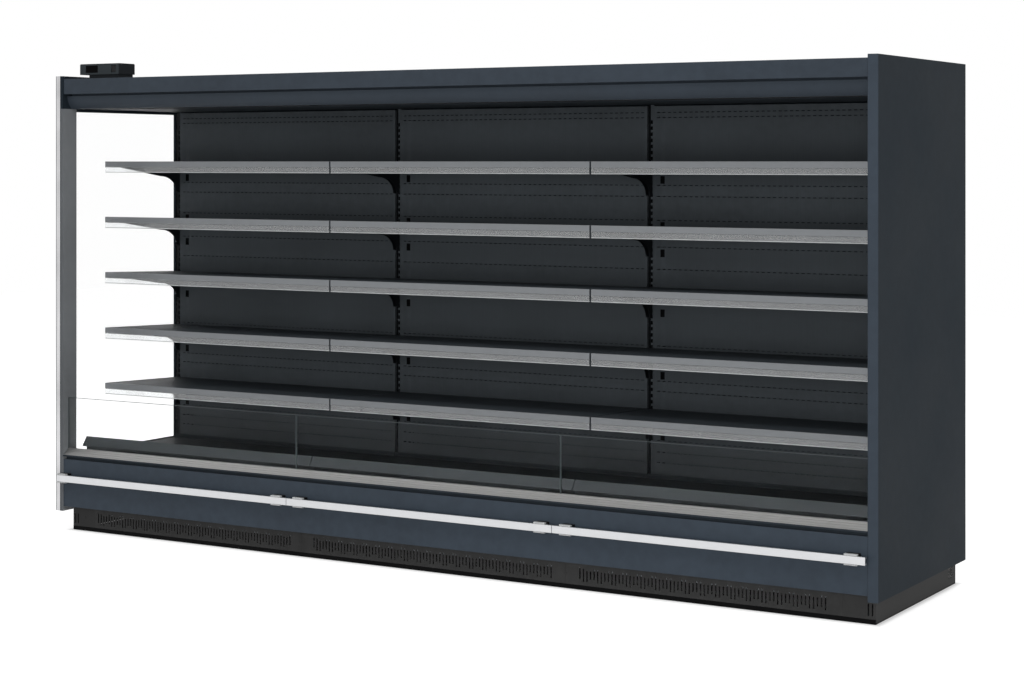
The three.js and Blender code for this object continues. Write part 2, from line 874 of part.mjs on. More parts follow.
/** Outline of a bracket blade in (Y, Z), from its tapered arm to its swept heel. */
function bladeOutline(rear, hooked) {
  const bearing = -hookBearing + seat;
  const tip = shelfFront + bladeInset;
  const taperEnd = rearPanelFace - bladeTaperEnd;
  const shape = new THREE.Shape();
  shape.moveTo(tip, -sheet);
  shape.lineTo(tip, -bladeNose);
  shape.lineTo(shelfFront + bladeTaperStart, -trayFlange);
  shape.lineTo(taperEnd, -bladeTaperDepth);
  shape.absellipse(
    taperEnd,
    -bladeDepth,
    bladeTaperEnd - heelWidth,
    bladeDepth - bladeTaperDepth,
    Math.PI / 2,
    0,
    true,
    0,
  );
  shape.lineTo(rear, -bladeDepth);
  if (hooked) traceHook(shape, bearing);
  else shape.lineTo(rear, bearing - sheet);
  shape.lineTo(trayRear, -sheet - hookPlateDepth);
  shape.lineTo(trayRear, -sheet);
  shape.closePath();
  return shape;
}

/** Adds the tongue and the hook, from the heel upwards, to a blade outline. */
function traceHook(shape, bearing) {
  const rear = rearPanelFace - seat;
  const webRear = rearPanelFace + sheet;
  const tongueLow = -hookBearing - tongueSlot * slotPitch + sheet;
  const tongueTop = tongueLow + tongueHeight;
  const neckTop = bearing + hookNeck;
  shape.lineTo(rear, tongueLow);
  shape.lineTo(webRear + hookThroat, tongueLow);
  shape.lineTo(webRear + hookThroat, tongueTop);
  shape.lineTo(rear, tongueTop);
  shape.lineTo(rear, bearing);
  shape.lineTo(webRear + hookThroat, bearing);
  shape.lineTo(webRear + hookThroat, bearing - hookDrop);
  shape.lineTo(webRear + hookThroat + hookTip, bearing - hookDrop);
  shape.lineTo(webRear + hookThroat + hookTip, neckTop);
  shape.lineTo(rear, neckTop);
}

/** Hook plate behind the tray, joined to its blade by a flange that lies on the upright. */
function offsetHook(bladeX, hookX) {
  const bearing = -hookBearing + seat;
  const rear = rearPanelFace - seat;
  const front = rear - hookPlateDepth;
  const shape = new THREE.Shape();
  shape.moveTo(rear, -bladeDepth);
  traceHook(shape, bearing);
  shape.lineTo(front, bearing + hookNeck);
  shape.lineTo(front, -bladeDepth);
  shape.closePath();
  const from = Math.min(bladeX, hookX);
  const to = Math.max(bladeX, hookX) + bladeThickness;
  const flange = block([from, to], [rear - bladeThickness, rear], [-bladeDepth, bearing - sheet]);
  return alongX(shape, hookX, hookX + bladeThickness).add(flange);
}

/** Ticket rail along the shelf's front: a plate with a lip along its top and bottom. */
function ticketRail(half) {
  const front = shelfFront;
  const back = shelfFront + ticketDepth;
  const low = -ticketHeight;
  return alongX(
    [
      [front, 0],
      [front, -ticketLip],
      [front + sheet, -ticketLip],
      [front + sheet, -sheet],
      [back - sheet, -sheet],
      [back - sheet, low + sheet],
      [front + sheet, low + sheet],
      [front + sheet, low + ticketLip],
      [front, low + ticketLip],
      [front, low],
      [back, low],
      [back, 0],
    ],
    -half,
    half,
  );
}

/** One shelf: a folded tray, its ticket rail and two hooked brackets. Origin: bay centre, surface. */
function shelf(atRightEnd) {
  const half = bayWidth / 2 - shelfJoint;
  const front = shelfFront + ticketDepth;
  const tray = cut(
    block([-half, half], [front, trayRear], [-trayFlange, 0]),
    block(
      [-half + sheet, half - sheet],
      [front + sheet, trayRear - sheet],
      [-trayFlange - 1, -sheet],
    ),
  );
  const rear = rearPanelFace - seat;
  const leftBlade = -bayWidth / 2 + slotCentre + hookSideGap;
  const rightBlade = half;
  const rightHook = atRightEnd
    ? bayWidth / 2 - endSlotCentre - bladeThickness / 2
    : bayWidth / 2 + slotCentre - hookSideGap - bladeThickness;
  return join(
    tray,
    ticketRail(half),
    alongX(bladeOutline(rear, true), leftBlade, leftBlade + bladeThickness, 2),
    alongX(bladeOutline(rear, false), rightBlade, rightBlade + bladeThickness, 2),
    offsetHook(rightBlade, rightHook),
  );
}

// ---------------------------------------------------------------- decks, fans, coil

/** Deck pan with its sloping front rail. Origin: bay centre. */
function deckPan() {
  const half = bayWidth / 2 - deckJoint;
  const low = deckLevel - sheet;
  const railTop = deckLevel + deckRailHeight;
  const railLow = railTop - deckRailDrop;
  const railFront = deckRailFoot - deckRailRun;
  return alongX(
    [
      [deckRailFoot, low],
      [deckRear, low],
      [deckRear, low + deckRearFlange],
      [deckRear - sheet, low + deckRearFlange],
      [deckRear - sheet, deckLevel],
      [deckRailFoot + sheet, deckLevel],
      [deckRailFoot + sheet, railTop],
      [deckRailFoot - sheet / 2, railTop],
      [railFront, railLow],
      [railFront, railLow - deckRailHem],
      [railFront + sheet, railLow - deckRailHem],
      [railFront + sheet, railLow - sheet / 4],
      [deckRailFoot, railTop - 2 * sheet],
    ],
    -half,
    half,
  );
}

/** Fan plate across the tub, with a round opening, a motor and its two arms in every bay. */
function fanPlate() {
  const low = tubFloor + seat;
  const high = deckLevel - sheet - seat;
  const face = fanPlateFace;
  const through = [face - 1, face + sheet + 1];
  const openings = bays.map((bay) =>
    alongY(circle(bayCentre(bay), fanAxis, fanOpening / 2, 16), ...through),
  );
  const parts = [
    cut(block([-fitHalf, fitHalf], [face, face + sheet], [low, high]), openings),
    block([-fitHalf, fitHalf], [face, face + fanPlateFlange], [high - sheet, high]),
  ];
  const motorFront = face + motorGap;
  const height = [fanAxis - motorArm / 2, fanAxis + motorArm / 2];
  const reach = fanOpening / 2 + motorArm;
  for (const bay of bays) {
    const x = bayCentre(bay);
    const motor = circle(x, fanAxis, motorRadius, 10);
    parts.push(alongY(motor, motorFront, motorFront + motorDepth));
    parts.push(block([x - reach, x + reach], [motorFront + sheet, motorFront + 3 * sheet], height));
    for (const side of [-1, 1]) {
      const post = x + side * (reach - motorArm / 4);
      const width = [post - motorArm / 4, post + motorArm / 4];
      parts.push(block(width, [face + 1, motorFront + 2 * sheet], height));
    }
  }
  return join(parts);
}

/** Axial fan wheel: a hub with pitched blades. Origin: hub centre, axis along Y. */
function impeller() {
  const parts = [alongY(circle(0, 0, hubRadius, 10), -hubDepth / 2, hubDepth / 2)];
  const root = 0.8 * hubRadius;
  const tip = 0.9 * impellerRadius;
  const swing = Math.PI / fanBlades;
  const rootHalf = root * swing;
  const tipHalf = 0.65 * tip * swing;
  for (let index = 0; index < fanBlades; index++) {
    const blade = new THREE.Shape();
    blade.moveTo(root, -rootHalf);
    blade.lineTo(tip, -tipHalf);
    blade.quadraticCurveTo(impellerRadius + root / 9, 0, tip, tipHalf);
    blade.lineTo(root, rootHalf);
    blade.closePath();
    const settings = { depth: fanBladeThickness, bevelEnabled: false, curveSegments: 2 };
    const geometry = new THREE.ExtrudeGeometry(blade, settings);
    geometry.translate(0, 0, -fanBladeThickness / 2);
    geometry.rotateX(THREE.MathUtils.degToRad(90 + fanBladePitch));
    geometry.rotateY((2 * Math.PI * index) / fanBlades);
    parts.push(solid(geometry));
  }
  return join(parts);
}

/** Evaporator coil: fin packs between tube plates, under a cover sheet that carries the decks. */
function evaporator() {
  const low = tubFloor + seat;
  const high = deckLevel - sheet - seat;
  const finLow = low + coilFootGap;
  const half = innerHalf - coilEndGap;
  const front = fanPlateFace + coilInset;
  const rear = rearPanelFace - coilRearGap;
  const core = [front + coilCore, rear - coilCore];
  const parts = [
    block([-half, half], [front, rear], [high - sheet, high]),
    block([-half, half], core, [finLow + coilCore / 2, high - coilCore / 2]),
  ];
  const pack = (2 * half) / coilFinCount;
  for (let index = 0; index <= coilFinCount; index++) {
    const x = THREE.MathUtils.clamp(index * pack - half, sheet / 2 - half, half - sheet / 2);
    const standing = index % (coilFinCount / 4) === 0;
    const height = [standing ? low : finLow, high - sheet / 2];
    parts.push(block([x - sheet / 2, x + sheet / 2], [front, rear], height));
  }
  return join(parts);
}

// ---------------------------------------------------------------- control box

const boxLeft = -innerHalf + boxInset;
const boxRight = boxLeft + boxWidth;
const boxFloor = roofTop + boxLift;
const rockerX = boxRight - rockerInset;
const rockerZ = boxFloor + boxHeight / 2;

/** Control box on the roof: housing, recessed foot, lens recess and rocker well. */
function controlBox() {
  const rear = boxFront + boxDepth;
  const high = boxFloor + boxHeight;
  const housing = alongX(
    [
      [boxFront, boxFloor],
      [rear, boxFloor],
      [rear, high - boxEase],
      [rear - boxEase, high],
      [boxFront + boxEase, high],
      [boxFront, high - boxEase],
    ],
    boxLeft,
    boxRight,
  );
  const foot = block(
    [boxLeft + boxFootStart, boxRight - boxFootInset],
    [boxFront + boxFootInset, rear - boxFootInset],
    [roofTop + seat, boxFloor + 1],
  );
  const lens = block(
    [boxLeft + lensInset, boxLeft + lensInset + lensWidth],
    [boxFront - 1, boxFront + lensDepth],
    [boxFloor + lensRim, high - lensRim],
  );
  const wellHalf = [rockerWidth / 2 + 2 * seat, rockerHeight / 2 + sheet];
  const well = block(
    [rockerX - wellHalf[0], rockerX + wellHalf[0]],
    [boxFront - 1, boxFront + rockerWell],
    [rockerZ - wellHalf[1], rockerZ + wellHalf[1]],
  );
  return cut(housing.add(foot), lens, well);
}

/** Rocker of the mains switch. Origin: its pivot; the face is a shallow V. */
function rocker() {
  const half = rockerHeight / 2;
  const back = rockerSink;
  return alongX(
    [
      [-rockerSink, -half],
      [back, 1 - 0.75 * half],
      [back, 0.75 * half - 1],
      [-rockerSink, half],
      [-0.7 * rockerSink, 0],
    ],
    -rockerWidth / 2,
    rockerWidth / 2,
  );
}

// ---------------------------------------------------------------- assembly

const base = assembly();
place(base, "base_frame", baseFrame(), galvanised);
place(base, "base_tub", baseTub(), graphiteDark);
for (const bay of bays) place(base, `kick_plate_${bayName(bay)}`, kickPlate(bay), graphiteDark);
place(base, "plinth_corner_left", plinthCorner(-1), graphiteDark);
place(base, "plinth_corner_right", plinthCorner(1), graphiteDark);
place(base, "floor_skirt", skirt(), blackRubber);

const casework = assembly();
place(casework, "rear_wall", rearWall(), graphiteDark);
place(casework, "roof", roof(), graphiteDark);
place(casework, "end_wall_right", solidEndWall(), graphite);
place(casework, "end_wall_left", glazedEndWall(), graphiteDark);
place(casework, "end_glass_left", endPane(), clearGlass);
place(casework, "end_trim_left", endTrim(), brightAluminium);
place(casework, "front_panel", frontPanel(), graphite);
place(casework, "front_profile", frontProfile(), satinAluminium);
for (const bay of bays) {
  const x = [bayCentre(bay), 0, 0];
  place(casework, `riser_glass_${bayName(bay)}`, riserGlass(bay), clearGlass, x);
  place(casework, `bumper_${bayName(bay)}`, bumper(bay), brightAluminium);
}

const canopy = assembly();
place(canopy, "canopy_fascia", fascia(), graphite);
place(canopy, "canopy_visor", visor(), graphite);
place(canopy, "canopy_lamp", canopyLamp(), whitePlastic);
place(canopy, "air_outlet", airOutlet(), blackPlastic);
place(canopy, "ceiling_panel", ceilingPanel(), graphiteDark);

const rearDuct = assembly();
for (const bay of bays) place(rearDuct, `rear_panel_${bayName(bay)}`, rearPanel(bay), graphiteDark);
for (let index = 0; index <= bayCount; index++) {
  place(rearDuct, `upright_${index + 1}`, upright(index), graphiteDark);
}

const shelving = assembly();
const innerShelf = geometryOf(shelf(false));
const endShelf = geometryOf(shelf(true));
for (const bay of bays) {
  const geometry = bay === bayCount - 1 ? endShelf : innerShelf;
  for (let level = 0; level < shelfLevels; level++) {
    const position = [bayCentre(bay), 0, topShelf - level * shelfPitch];
    place(shelving, `shelf_${bayName(bay)}_${level + 1}`, geometry, blackSteel, position);
  }
}

const cooling = assembly();
place(cooling, "fan_plate", fanPlate(), galvanised);
place(cooling, "evaporator", evaporator(), galvanised);
const deck = geometryOf(deckPan());
const wheel = geometryOf(impeller());
const hubCentre = fanPlateFace + motorGap - seat - hubDepth / 2;
for (const bay of bays) {
  const x = bayCentre(bay);
  place(cooling, `deck_pan_${bayName(bay)}`, deck, graphite, [x, 0, 0]);
  place(cooling, `fan_wheel_${bayName(bay)}`, wheel, blackPlastic, [x, hubCentre, fanAxis]);
}

const controls = assembly();
place(controls, "control_box", controlBox(), blackPlastic);
const switchRocker = place(
  controls,
  "switch_rocker",
  rocker(),
  blackPlastic,
  [rockerX, boxFront + rockerSink, rockerZ],
);
switchRocker.rotation.x = THREE.MathUtils.degToRad(rockerTilt);

export default cabinet;
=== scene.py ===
"""Looks of an open multideck display fridge: finishes, sheet-metal detail, light and camera.

Everything is in metres in the cabinet's own frame: X along the front, Y to the back, Z up from the
floor, the origin under the middle of the cabinet. The solid model gives every place and outer size.
"""

from __future__ import annotations

import json
import logging
import math
from dataclasses import dataclass
from enum import Enum
from typing import Callable, Iterable, Sequence

import bmesh
import bpy
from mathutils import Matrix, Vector

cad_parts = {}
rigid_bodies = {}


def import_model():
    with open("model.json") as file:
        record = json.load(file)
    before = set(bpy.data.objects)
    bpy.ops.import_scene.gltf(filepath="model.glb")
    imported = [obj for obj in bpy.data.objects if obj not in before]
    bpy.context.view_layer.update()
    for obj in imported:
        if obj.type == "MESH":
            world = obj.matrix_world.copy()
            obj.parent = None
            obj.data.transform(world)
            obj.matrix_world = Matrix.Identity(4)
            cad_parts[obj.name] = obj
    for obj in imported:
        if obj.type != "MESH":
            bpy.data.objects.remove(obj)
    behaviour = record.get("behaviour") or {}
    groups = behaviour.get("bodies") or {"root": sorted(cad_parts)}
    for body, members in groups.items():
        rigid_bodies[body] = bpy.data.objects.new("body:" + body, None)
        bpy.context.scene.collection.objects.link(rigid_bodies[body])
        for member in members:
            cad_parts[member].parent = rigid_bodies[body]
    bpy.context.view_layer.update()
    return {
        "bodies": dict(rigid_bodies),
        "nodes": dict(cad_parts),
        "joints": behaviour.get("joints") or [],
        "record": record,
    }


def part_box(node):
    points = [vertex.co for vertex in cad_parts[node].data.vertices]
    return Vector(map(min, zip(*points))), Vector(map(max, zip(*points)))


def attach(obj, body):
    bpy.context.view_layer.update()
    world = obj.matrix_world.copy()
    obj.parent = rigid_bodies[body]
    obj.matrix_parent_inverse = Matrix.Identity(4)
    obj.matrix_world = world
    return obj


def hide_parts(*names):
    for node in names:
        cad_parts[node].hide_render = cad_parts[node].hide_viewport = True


log = logging.getLogger("display_fridge")

Point = tuple[float, float]
Limits = tuple[float, float]
Hole = tuple[Limits, Limits]
Colour = tuple[float, float, float]
Socket = bpy.types.NodeSocket

CASE = "case"
BAYS = ("left", "middle", "right")
SHELF_LEVELS = 5

SHEET = 0.002  # sheet metal
SEAT = 0.00025  # play of what sits in or against something
EDGE = 0.0006  # rounding of an ordinary edge
EDGE_STEPS = 2
SHARP = math.radians(30)  # an edge that bends more than this is rounded
FLAT = math.radians(1)  # faces that bend less than this are one face
MICRON = 6  # decimals of a micrometre

# How much of its normal points the way that a face is said to look.
PARTLY = 0.2
MOSTLY = 0.5
SQUARELY = 0.9


# ---------------------------------------------------------------- drawing


class Axis(Enum):
    """The direction that an outline is drawn out along; the outline lies in the other two, in order."""

    X = 0
    Y = 1
    Z = 2

    def point(self, u: float, v: float, w: float) -> Vector:
        """The point at (u, v) in the outline and w along the axis, in the cabinet's frame."""
        return Vector(((w, u, v), (u, w, v), (u, v, w))[self.value])


def limits(node: str) -> tuple[Limits, Limits, Limits]:
    """The X, Y and Z limits of a CAD node."""
    low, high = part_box(node)
    return (low.x, high.x), (low.y, high.y), (low.z, high.z)


def inset(span: Limits, margin: float) -> Limits:
    """A span without a margin at both ends."""
    return span[0] + margin, span[1] - margin


def ends(span: Limits, width: float) -> tuple[Limits, Limits]:
    """The first and the last stretch of a span."""
    return (span[0], span[0] + width), (span[1] - width, span[1])


def about(middle: float, width: float) -> Limits:
    """The span of some width about a middle."""
    return middle - width / 2, middle + width / 2


def along(span: Limits, share: float) -> float:
    """The place at a share of the way along a span."""
    return span[0] + (span[1] - span[0]) * share


def held(place: float, span: Limits) -> float:
    """The place in a span that is nearest to another place."""
    return min(max(place, span[0]), span[1])


def arc(centre: Point, radii: Point, start: float, stop: float, steps: int) -> list[Point]:
    """Points along an elliptic arc.

    Args:
        centre: middle of the ellipse.
        radii: half axes.
        start: first angle in degrees.
        stop: last angle in degrees.
        steps: number of chords.

    Returns:
        The steps + 1 points, ends included.
    """
    angles = [math.radians(start + (stop - start) * i / steps) for i in range(steps + 1)]
    return [(centre[0] + radii[0] * math.cos(a), centre[1] + radii[1] * math.sin(a)) for a in angles]


def bend(start: Point, pull: Point, stop: Point, steps: int) -> list[Point]:
    """Points along a quadratic curve.

    Args:
        start: first point.
        pull: control point.
        stop: last point.
        steps: number of chords.

    Returns:
        The steps + 1 points, ends included.
    """
    curve = []
    for t in (i / steps for i in range(steps + 1)):
        a, b, c = (1 - t) ** 2, 2 * t * (1 - t), t**2
        curve.append(tuple(a * p + b * q + c * r for p, q, r in zip(start, pull, stop)))
    return curve


class Draft:
    """A mesh that is being drawn from blocks, drawn-out outlines and pierced sheets."""

    def __init__(self) -> None:
        """Starts an empty mesh."""
        self.shape = bmesh.new()

    def extrude(self, outline: Sequence[Point], axis: Axis, span: Limits) -> Draft:
        """Adds an outline drawn out along an axis.

        Args:
            outline: corner points, in order.
            axis: direction of the extrusion.
            span: where it begins and ends.

        Returns:
            The draft itself.
        """
        near, far = ([self.shape.verts.new(axis.point(u, v, w)) for u, v in outline] for w in span)
        for i in range(len(outline)):
            self.shape.faces.new((near[i - 1], near[i], far[i], far[i - 1]))
        self.shape.faces.new(near[::-1])
        self.shape.faces.new(far)
        return self

    def block(self, x: Limits, y: Limits, z: Limits) -> Draft:
        """Adds a block between three pairs of limits and returns the draft."""
        return self.extrude([(x[0], y[0]), (x[1], y[0]), (x[1], y[1]), (x[0], y[1])], Axis.Z, z)

    def rod(self, centre: Point, radius: float, axis: Axis, span: Limits, sides: int = 20) -> Draft:
        """Adds a round bar about a centre line along an axis and returns the draft."""
        return self.extrude(arc(centre, (radius, radius), 0, 360, sides)[:-1], axis, span)

    def hoop(self, centre: Vector, radius: float, wire: float, chords: int = 40, sides: int = 6) -> Draft:
        """Adds a ring of wire that lies square to Y.

        Args:
            centre: middle of the ring.
            radius: radius of the wire's centre line.
            wire: radius of the wire.
            chords: number of chords round the ring.
            sides: number of sides round the wire.

        Returns:
            The draft itself.
        """
        section = arc((radius, 0), (wire, wire), 0, 360, sides)[:-1]
        rings = []
        for turn in (2 * math.pi * i / chords for i in range(chords)):
            out = Vector((math.cos(turn), 0, math.sin(turn)))
            rings.append([self.shape.verts.new(centre + out * u + Vector((0, v, 0))) for u, v in section])
        for i in range(chords):
            before, ring = rings[i - 1], rings[i]
            for k in range(sides):
                self.shape.faces.new((before[k - 1], before[k], ring[k], ring[k - 1]))
        return self

    def pierced(self, x: Limits, y: Limits, z: Limits, holes: Sequence[Hole]) -> Draft:
        """Adds a sheet that stands square to Y, with rectangular holes.

        Args:
            x: its left and right edge.
            y: its front and rear face.
            z: its foot and its head.
            holes: X and Z limits of each hole.

        Returns:
            The draft itself.
        """
        columns, rows = (
            sorted({round(edge, MICRON) for span in (whole, *(hole[way] for hole in holes)) for edge in span})
            for way, whole in enumerate((x, z))
        )
        corners: dict[tuple[int, int, int], bmesh.types.BMVert] = {}

        def cells(lines: list[float], span: Limits) -> range:
            """The cells between the grid lines at both ends of a span."""
            return range(*(lines.index(round(edge, MICRON)) for edge in span))

        def corner(i: int, j: int, side: int) -> bmesh.types.BMVert:
            """The shared corner at a grid crossing.

            Args:
                i: grid line across.
                j: grid line upwards.
                side: 0 for the front face, 1 for the rear one.

            Returns:
                The corner.
            """
            if (i, j, side) not in corners:
                corners[i, j, side] = self.shape.verts.new((columns[i], y[side], rows[j]))
            return corners[i, j, side]

        solid = {(i, j) for i in range(len(columns) - 1) for j in range(len(rows) - 1)}
        for across, upward in holes:
            solid -= {(i, j) for i in cells(columns, across) for j in cells(rows, upward)}
        for i, j in solid:
            ring = [(i, j), (i + 1, j), (i + 1, j + 1), (i, j + 1)]
            beside = [(i, j - 1), (i + 1, j), (i, j + 1), (i - 1, j)]
            self.shape.faces.new([corner(*at, 0) for at in ring])
            self.shape.faces.new([corner(*at, 1) for at in reversed(ring)])
            for k, neighbour in enumerate(beside):
                if neighbour not in solid:
                    a, b = ring[k], ring[(k + 1) % 4]
                    self.shape.faces.new((corner(*b, 0), corner(*a, 0), corner(*a, 1), corner(*b, 1)))
        return self

    def copied(self, node: bpy.types.Object, pierced: bool = False) -> Draft:
        """Adds a CAD node's own shape.

        Args:
            node: the node.
            pierced: whether its flat faces have holes; they then stay in small facets.

        Returns:
            The draft itself.
        """
        shape = self.shape
        shape.from_mesh(node.data)
        bmesh.ops.remove_doubles(shape, verts=shape.verts, dist=1e-5)
        if pierced:
            bmesh.ops.join_triangles(
                shape, faces=shape.faces, angle_face_threshold=FLAT, angle_shape_threshold=math.pi
            )
        else:
            bmesh.ops.dissolve_limit(shape, angle_limit=FLAT, verts=shape.verts, edges=shape.edges)
        return self

    def scored(self, axis: Axis, place: float) -> Draft:
        """Adds a line of edges where a plane cuts the shape.

        Args:
            axis: the axis that the plane is square to.
            place: where the plane meets that axis.

        Returns:
            The draft itself.
        """
        whole = [*self.shape.verts, *self.shape.edges, *self.shape.faces]
        spot, normal = axis.point(0, 0, place), axis.point(0, 0, 1)
        bmesh.ops.bisect_plane(self.shape, geom=whole, plane_co=spot, plane_no=normal)
        return self

    def shifted(self, chosen: Callable[[Vector], bool], by: Vector) -> Draft:
        """Moves some corners.

        Args:
            chosen: says for a corner whether it moves.
            by: how far they move.

        Returns:
            The draft itself.
        """
        for corner in self.shape.verts:
            if chosen(corner.co):
                corner.co += by
        return self

    def mesh(self, name: str) -> bpy.types.Mesh:
        """Ends the draft.

        Args:
            name: the mesh's name.

        Returns:
            The mesh, with every face pointing out.
        """
        bmesh.ops.recalc_face_normals(self.shape, faces=self.shape.faces)
        made = bpy.data.meshes.new(name)
        self.shape.to_mesh(made)
        self.shape.free()
        return made


def placed(name: str, data: bpy.types.ID) -> bpy.types.Object:
    """A new object in the scene.

    Args:
        name: its name.
        data: its mesh, lamp or camera.

    Returns:
        The object.
    """
    made = bpy.data.objects.new(name, data)
    bpy.context.scene.collection.objects.link(made)
    return made


# ---------------------------------------------------------------- shader groups


class Effect(Enum):
    """Shared surface effects; each is one shader node group."""

    GRAIN = "surface_grain"
    DRAWN = "drawn_streaks"
    SPANGLE = "zinc_spangle"
    WEAR = "edge_wear"
    DUST = "settled_dust"


MIDDLE = (0.3, 0.7)  # where most values of a noise lie


class Bench:
    """Short calls for building one node tree; a value is a number, a colour or a socket to link."""

    def __init__(self, tree: bpy.types.NodeTree) -> None:
        """Keeps the tree that the calls work on."""
        self.tree = tree

    def feed(self, socket: Socket, value: object) -> None:
        """Links a socket to another one, or sets its value.

        Args:
            socket: the input socket.
            value: what it takes.
        """
        if isinstance(value, Socket):
            self.tree.links.new(value, socket)
        else:
            socket.default_value = value

    def fill(self, node: bpy.types.Node, **inputs: object) -> None:
        """Feeds a node's inputs; a socket is named with _ for a space."""
        for name, value in inputs.items():
            self.feed(node.inputs[name.replace("_", " ")], value)

    def add(self, kind: str, *inputs: object, **named: object) -> bpy.types.Node:
        """Adds a node and feeds its inputs.

        Args:
            kind: Blender's name of the node type.
            inputs: values of its first inputs, in order.
            named: values of inputs by name, with _ for a space.

        Returns:
            The node.
        """
        node = self.tree.nodes.new(kind)
        for socket, value in zip(node.inputs, inputs):
            self.feed(socket, value)
        self.fill(node, **named)
        return node

    def sum(self, kind: str, first: object, second: object = 0.0, clamp: bool = False) -> Socket:
        """Calculates with one or two values.

        Args:
            kind: Blender's name of the operation.
            first: first value.
            second: second value.
            clamp: whether the result is kept from 0 to 1.

        Returns:
            The result.
        """
        node = self.add("ShaderNodeMath", first, second)
        node.operation = kind
        node.use_clamp = clamp
        return node.outputs[0]

    def product(self, first: object, *others: object) -> Socket:
        """Multiplies two or more values.

        Args:
            first: first value.
            others: the other values.

        Returns:
            Their product.
        """
        for other in others:
            first = self.sum("MULTIPLY", first, other)
        return first

    def mean(self, first: object, second: object, share: float) -> Socket:
        """Two values added in a given proportion; share is the part of the first."""
        return self.sum("ADD", self.product(first, share), self.product(second, 1 - share))

    def range(self, value: object, source: Limits, target: Limits) -> Socket:
        """A value moved from one range to another and clamped there."""
        ranges = {"From_Min": source[0], "From_Max": source[1], "To_Min": target[0], "To_Max": target[1]}
        return self.add("ShaderNodeMapRange", Value=value, **ranges).outputs["Result"]

    def blend(self, share: object, first: object, second: object) -> Socket:
        """Mixes two colours.

        Args:
            share: the part of the second colour.
            first: first colour.
            second: second colour.

        Returns:
            The mixed colour.
        """
        node = self.add("ShaderNodeMix", share)
        node.data_type = "RGBA"
        for socket, colour in zip(node.inputs[6:8], (first, second)):
            self.feed(socket, (*colour, 1) if isinstance(colour, tuple) else colour)
        return node.outputs[2]

    def stretched(self, scale: Colour = (1, 1, 1)) -> Socket:
        """Object coordinates, multiplied along X, Y and Z."""
        place = self.add("ShaderNodeTexCoord").outputs["Object"]
        return self.add("ShaderNodeMapping", Vector=place, Scale=scale).outputs["Vector"]

    def noise(self, scale: object, detail: float, stretch: Colour = (1, 1, 1)) -> Socket:
        """The value of a noise over the object's coordinates."""
        place = self.stretched(stretch)
        return self.add("ShaderNodeTexNoise", Vector=place, Scale=scale, Detail=detail).outputs[0]

    def relief(self, height: object, depth: float, strength: float) -> Socket:
        """The normal of a bump that is some metres deep."""
        return self.add("ShaderNodeBump", Height=height, Strength=strength, Distance=depth).outputs["Normal"]

    def effect(self, effect: Effect, **values: float) -> bpy.types.bpy_prop_collection:
        """Places a shared group.

        Args:
            effect: which group.
            values: its inputs, by name.

        Returns:
            The group's output sockets.
        """
        node = self.add("ShaderNodeGroup")
        node.node_tree = bpy.data.node_groups[effect.value]
        self.fill(node, **values)
        return node.outputs


def new_group(
    effect: Effect, outputs: Iterable[str], **inputs: float
) -> tuple[Bench, bpy.types.bpy_prop_collection, bpy.types.Node]:
    """Starts a shader node group with float sockets.

    Args:
        effect: which effect the group is.
        outputs: output names.
        inputs: input names and their default values.

    Returns:
        The bench for the group, the sockets that give its inputs and the node that takes its outputs.
    """
    tree = bpy.data.node_groups.new(effect.value, "ShaderNodeTree")
    for name, value in inputs.items():
        made = tree.interface.new_socket(name=name, in_out="INPUT", socket_type="NodeSocketFloat")
        made.default_value = value
    for name in outputs:
        tree.interface.new_socket(name=name, in_out="OUTPUT", socket_type="NodeSocketFloat")
    bench = Bench(tree)
    return bench, bench.add("NodeGroupInput").outputs, bench.add("NodeGroupOutput")


def grain_group() -> None:
    """Orange peel of powder paint: fine height, and a slow cloudy shade."""
    bench, given, result = new_group(Effect.GRAIN, ("Height", "Shade"), Scale=700.0, Cloud=3.0)
    bench.fill(result, Height=bench.noise(given["Scale"], 3), Shade=bench.noise(given["Cloud"], 4))


def drawn_group() -> None:
    """Fine lines left by drawing or brushing, along X or, where Upright is 1, along Z."""
    bench, given, result = new_group(Effect.DRAWN, ("Height", "Shade"), Scale=900.0, Cloud=2.0, Upright=0.0)
    pulled = 0.004
    lying = bench.noise(given["Scale"], 2, (pulled, 1, 1))
    standing = bench.noise(given["Scale"], 2, (1, 1, pulled))
    rest = bench.sum("SUBTRACT", 1.0, given["Upright"])
    lines = bench.sum("ADD", bench.product(lying, rest), bench.product(standing, given["Upright"]))
    cloud = bench.noise(given["Cloud"], 3, (0.6, 2, 2))
    bench.fill(result, Height=lines, Shade=bench.mean(lines, cloud, 0.45))


def spangle_group() -> None:
    """Crystals of a galvanised surface, with a little cloud over them."""
    bench, given, result = new_group(Effect.SPANGLE, ("Height", "Shade"), Scale=90.0)
    cells = bench.add("ShaderNodeTexVoronoi", Vector=bench.stretched(), Scale=given["Scale"]).outputs
    tone = bench.add("ShaderNodeSeparateColor", cells["Color"]).outputs[0]
    bench.fill(result, Height=cells["Distance"], Shade=bench.mean(tone, bench.noise(6.0, 3), 0.6))


def wear_group() -> None:
    """Rubbed convex edges, broken up by noise."""
    bench, given, result = new_group(Effect.WEAR, ("Mask",), Amount=0.5, Scale=30.0)
    flat_to_sharp = (0.515, 0.6)
    edge = bench.range(bench.add("ShaderNodeNewGeometry").outputs["Pointiness"], flat_to_sharp, (0, 1))
    broken = bench.range(bench.noise(given["Scale"], 4), (0.35, 0.65), (0.2, 1))
    bench.fill(result, Mask=bench.product(edge, broken, given["Amount"]))


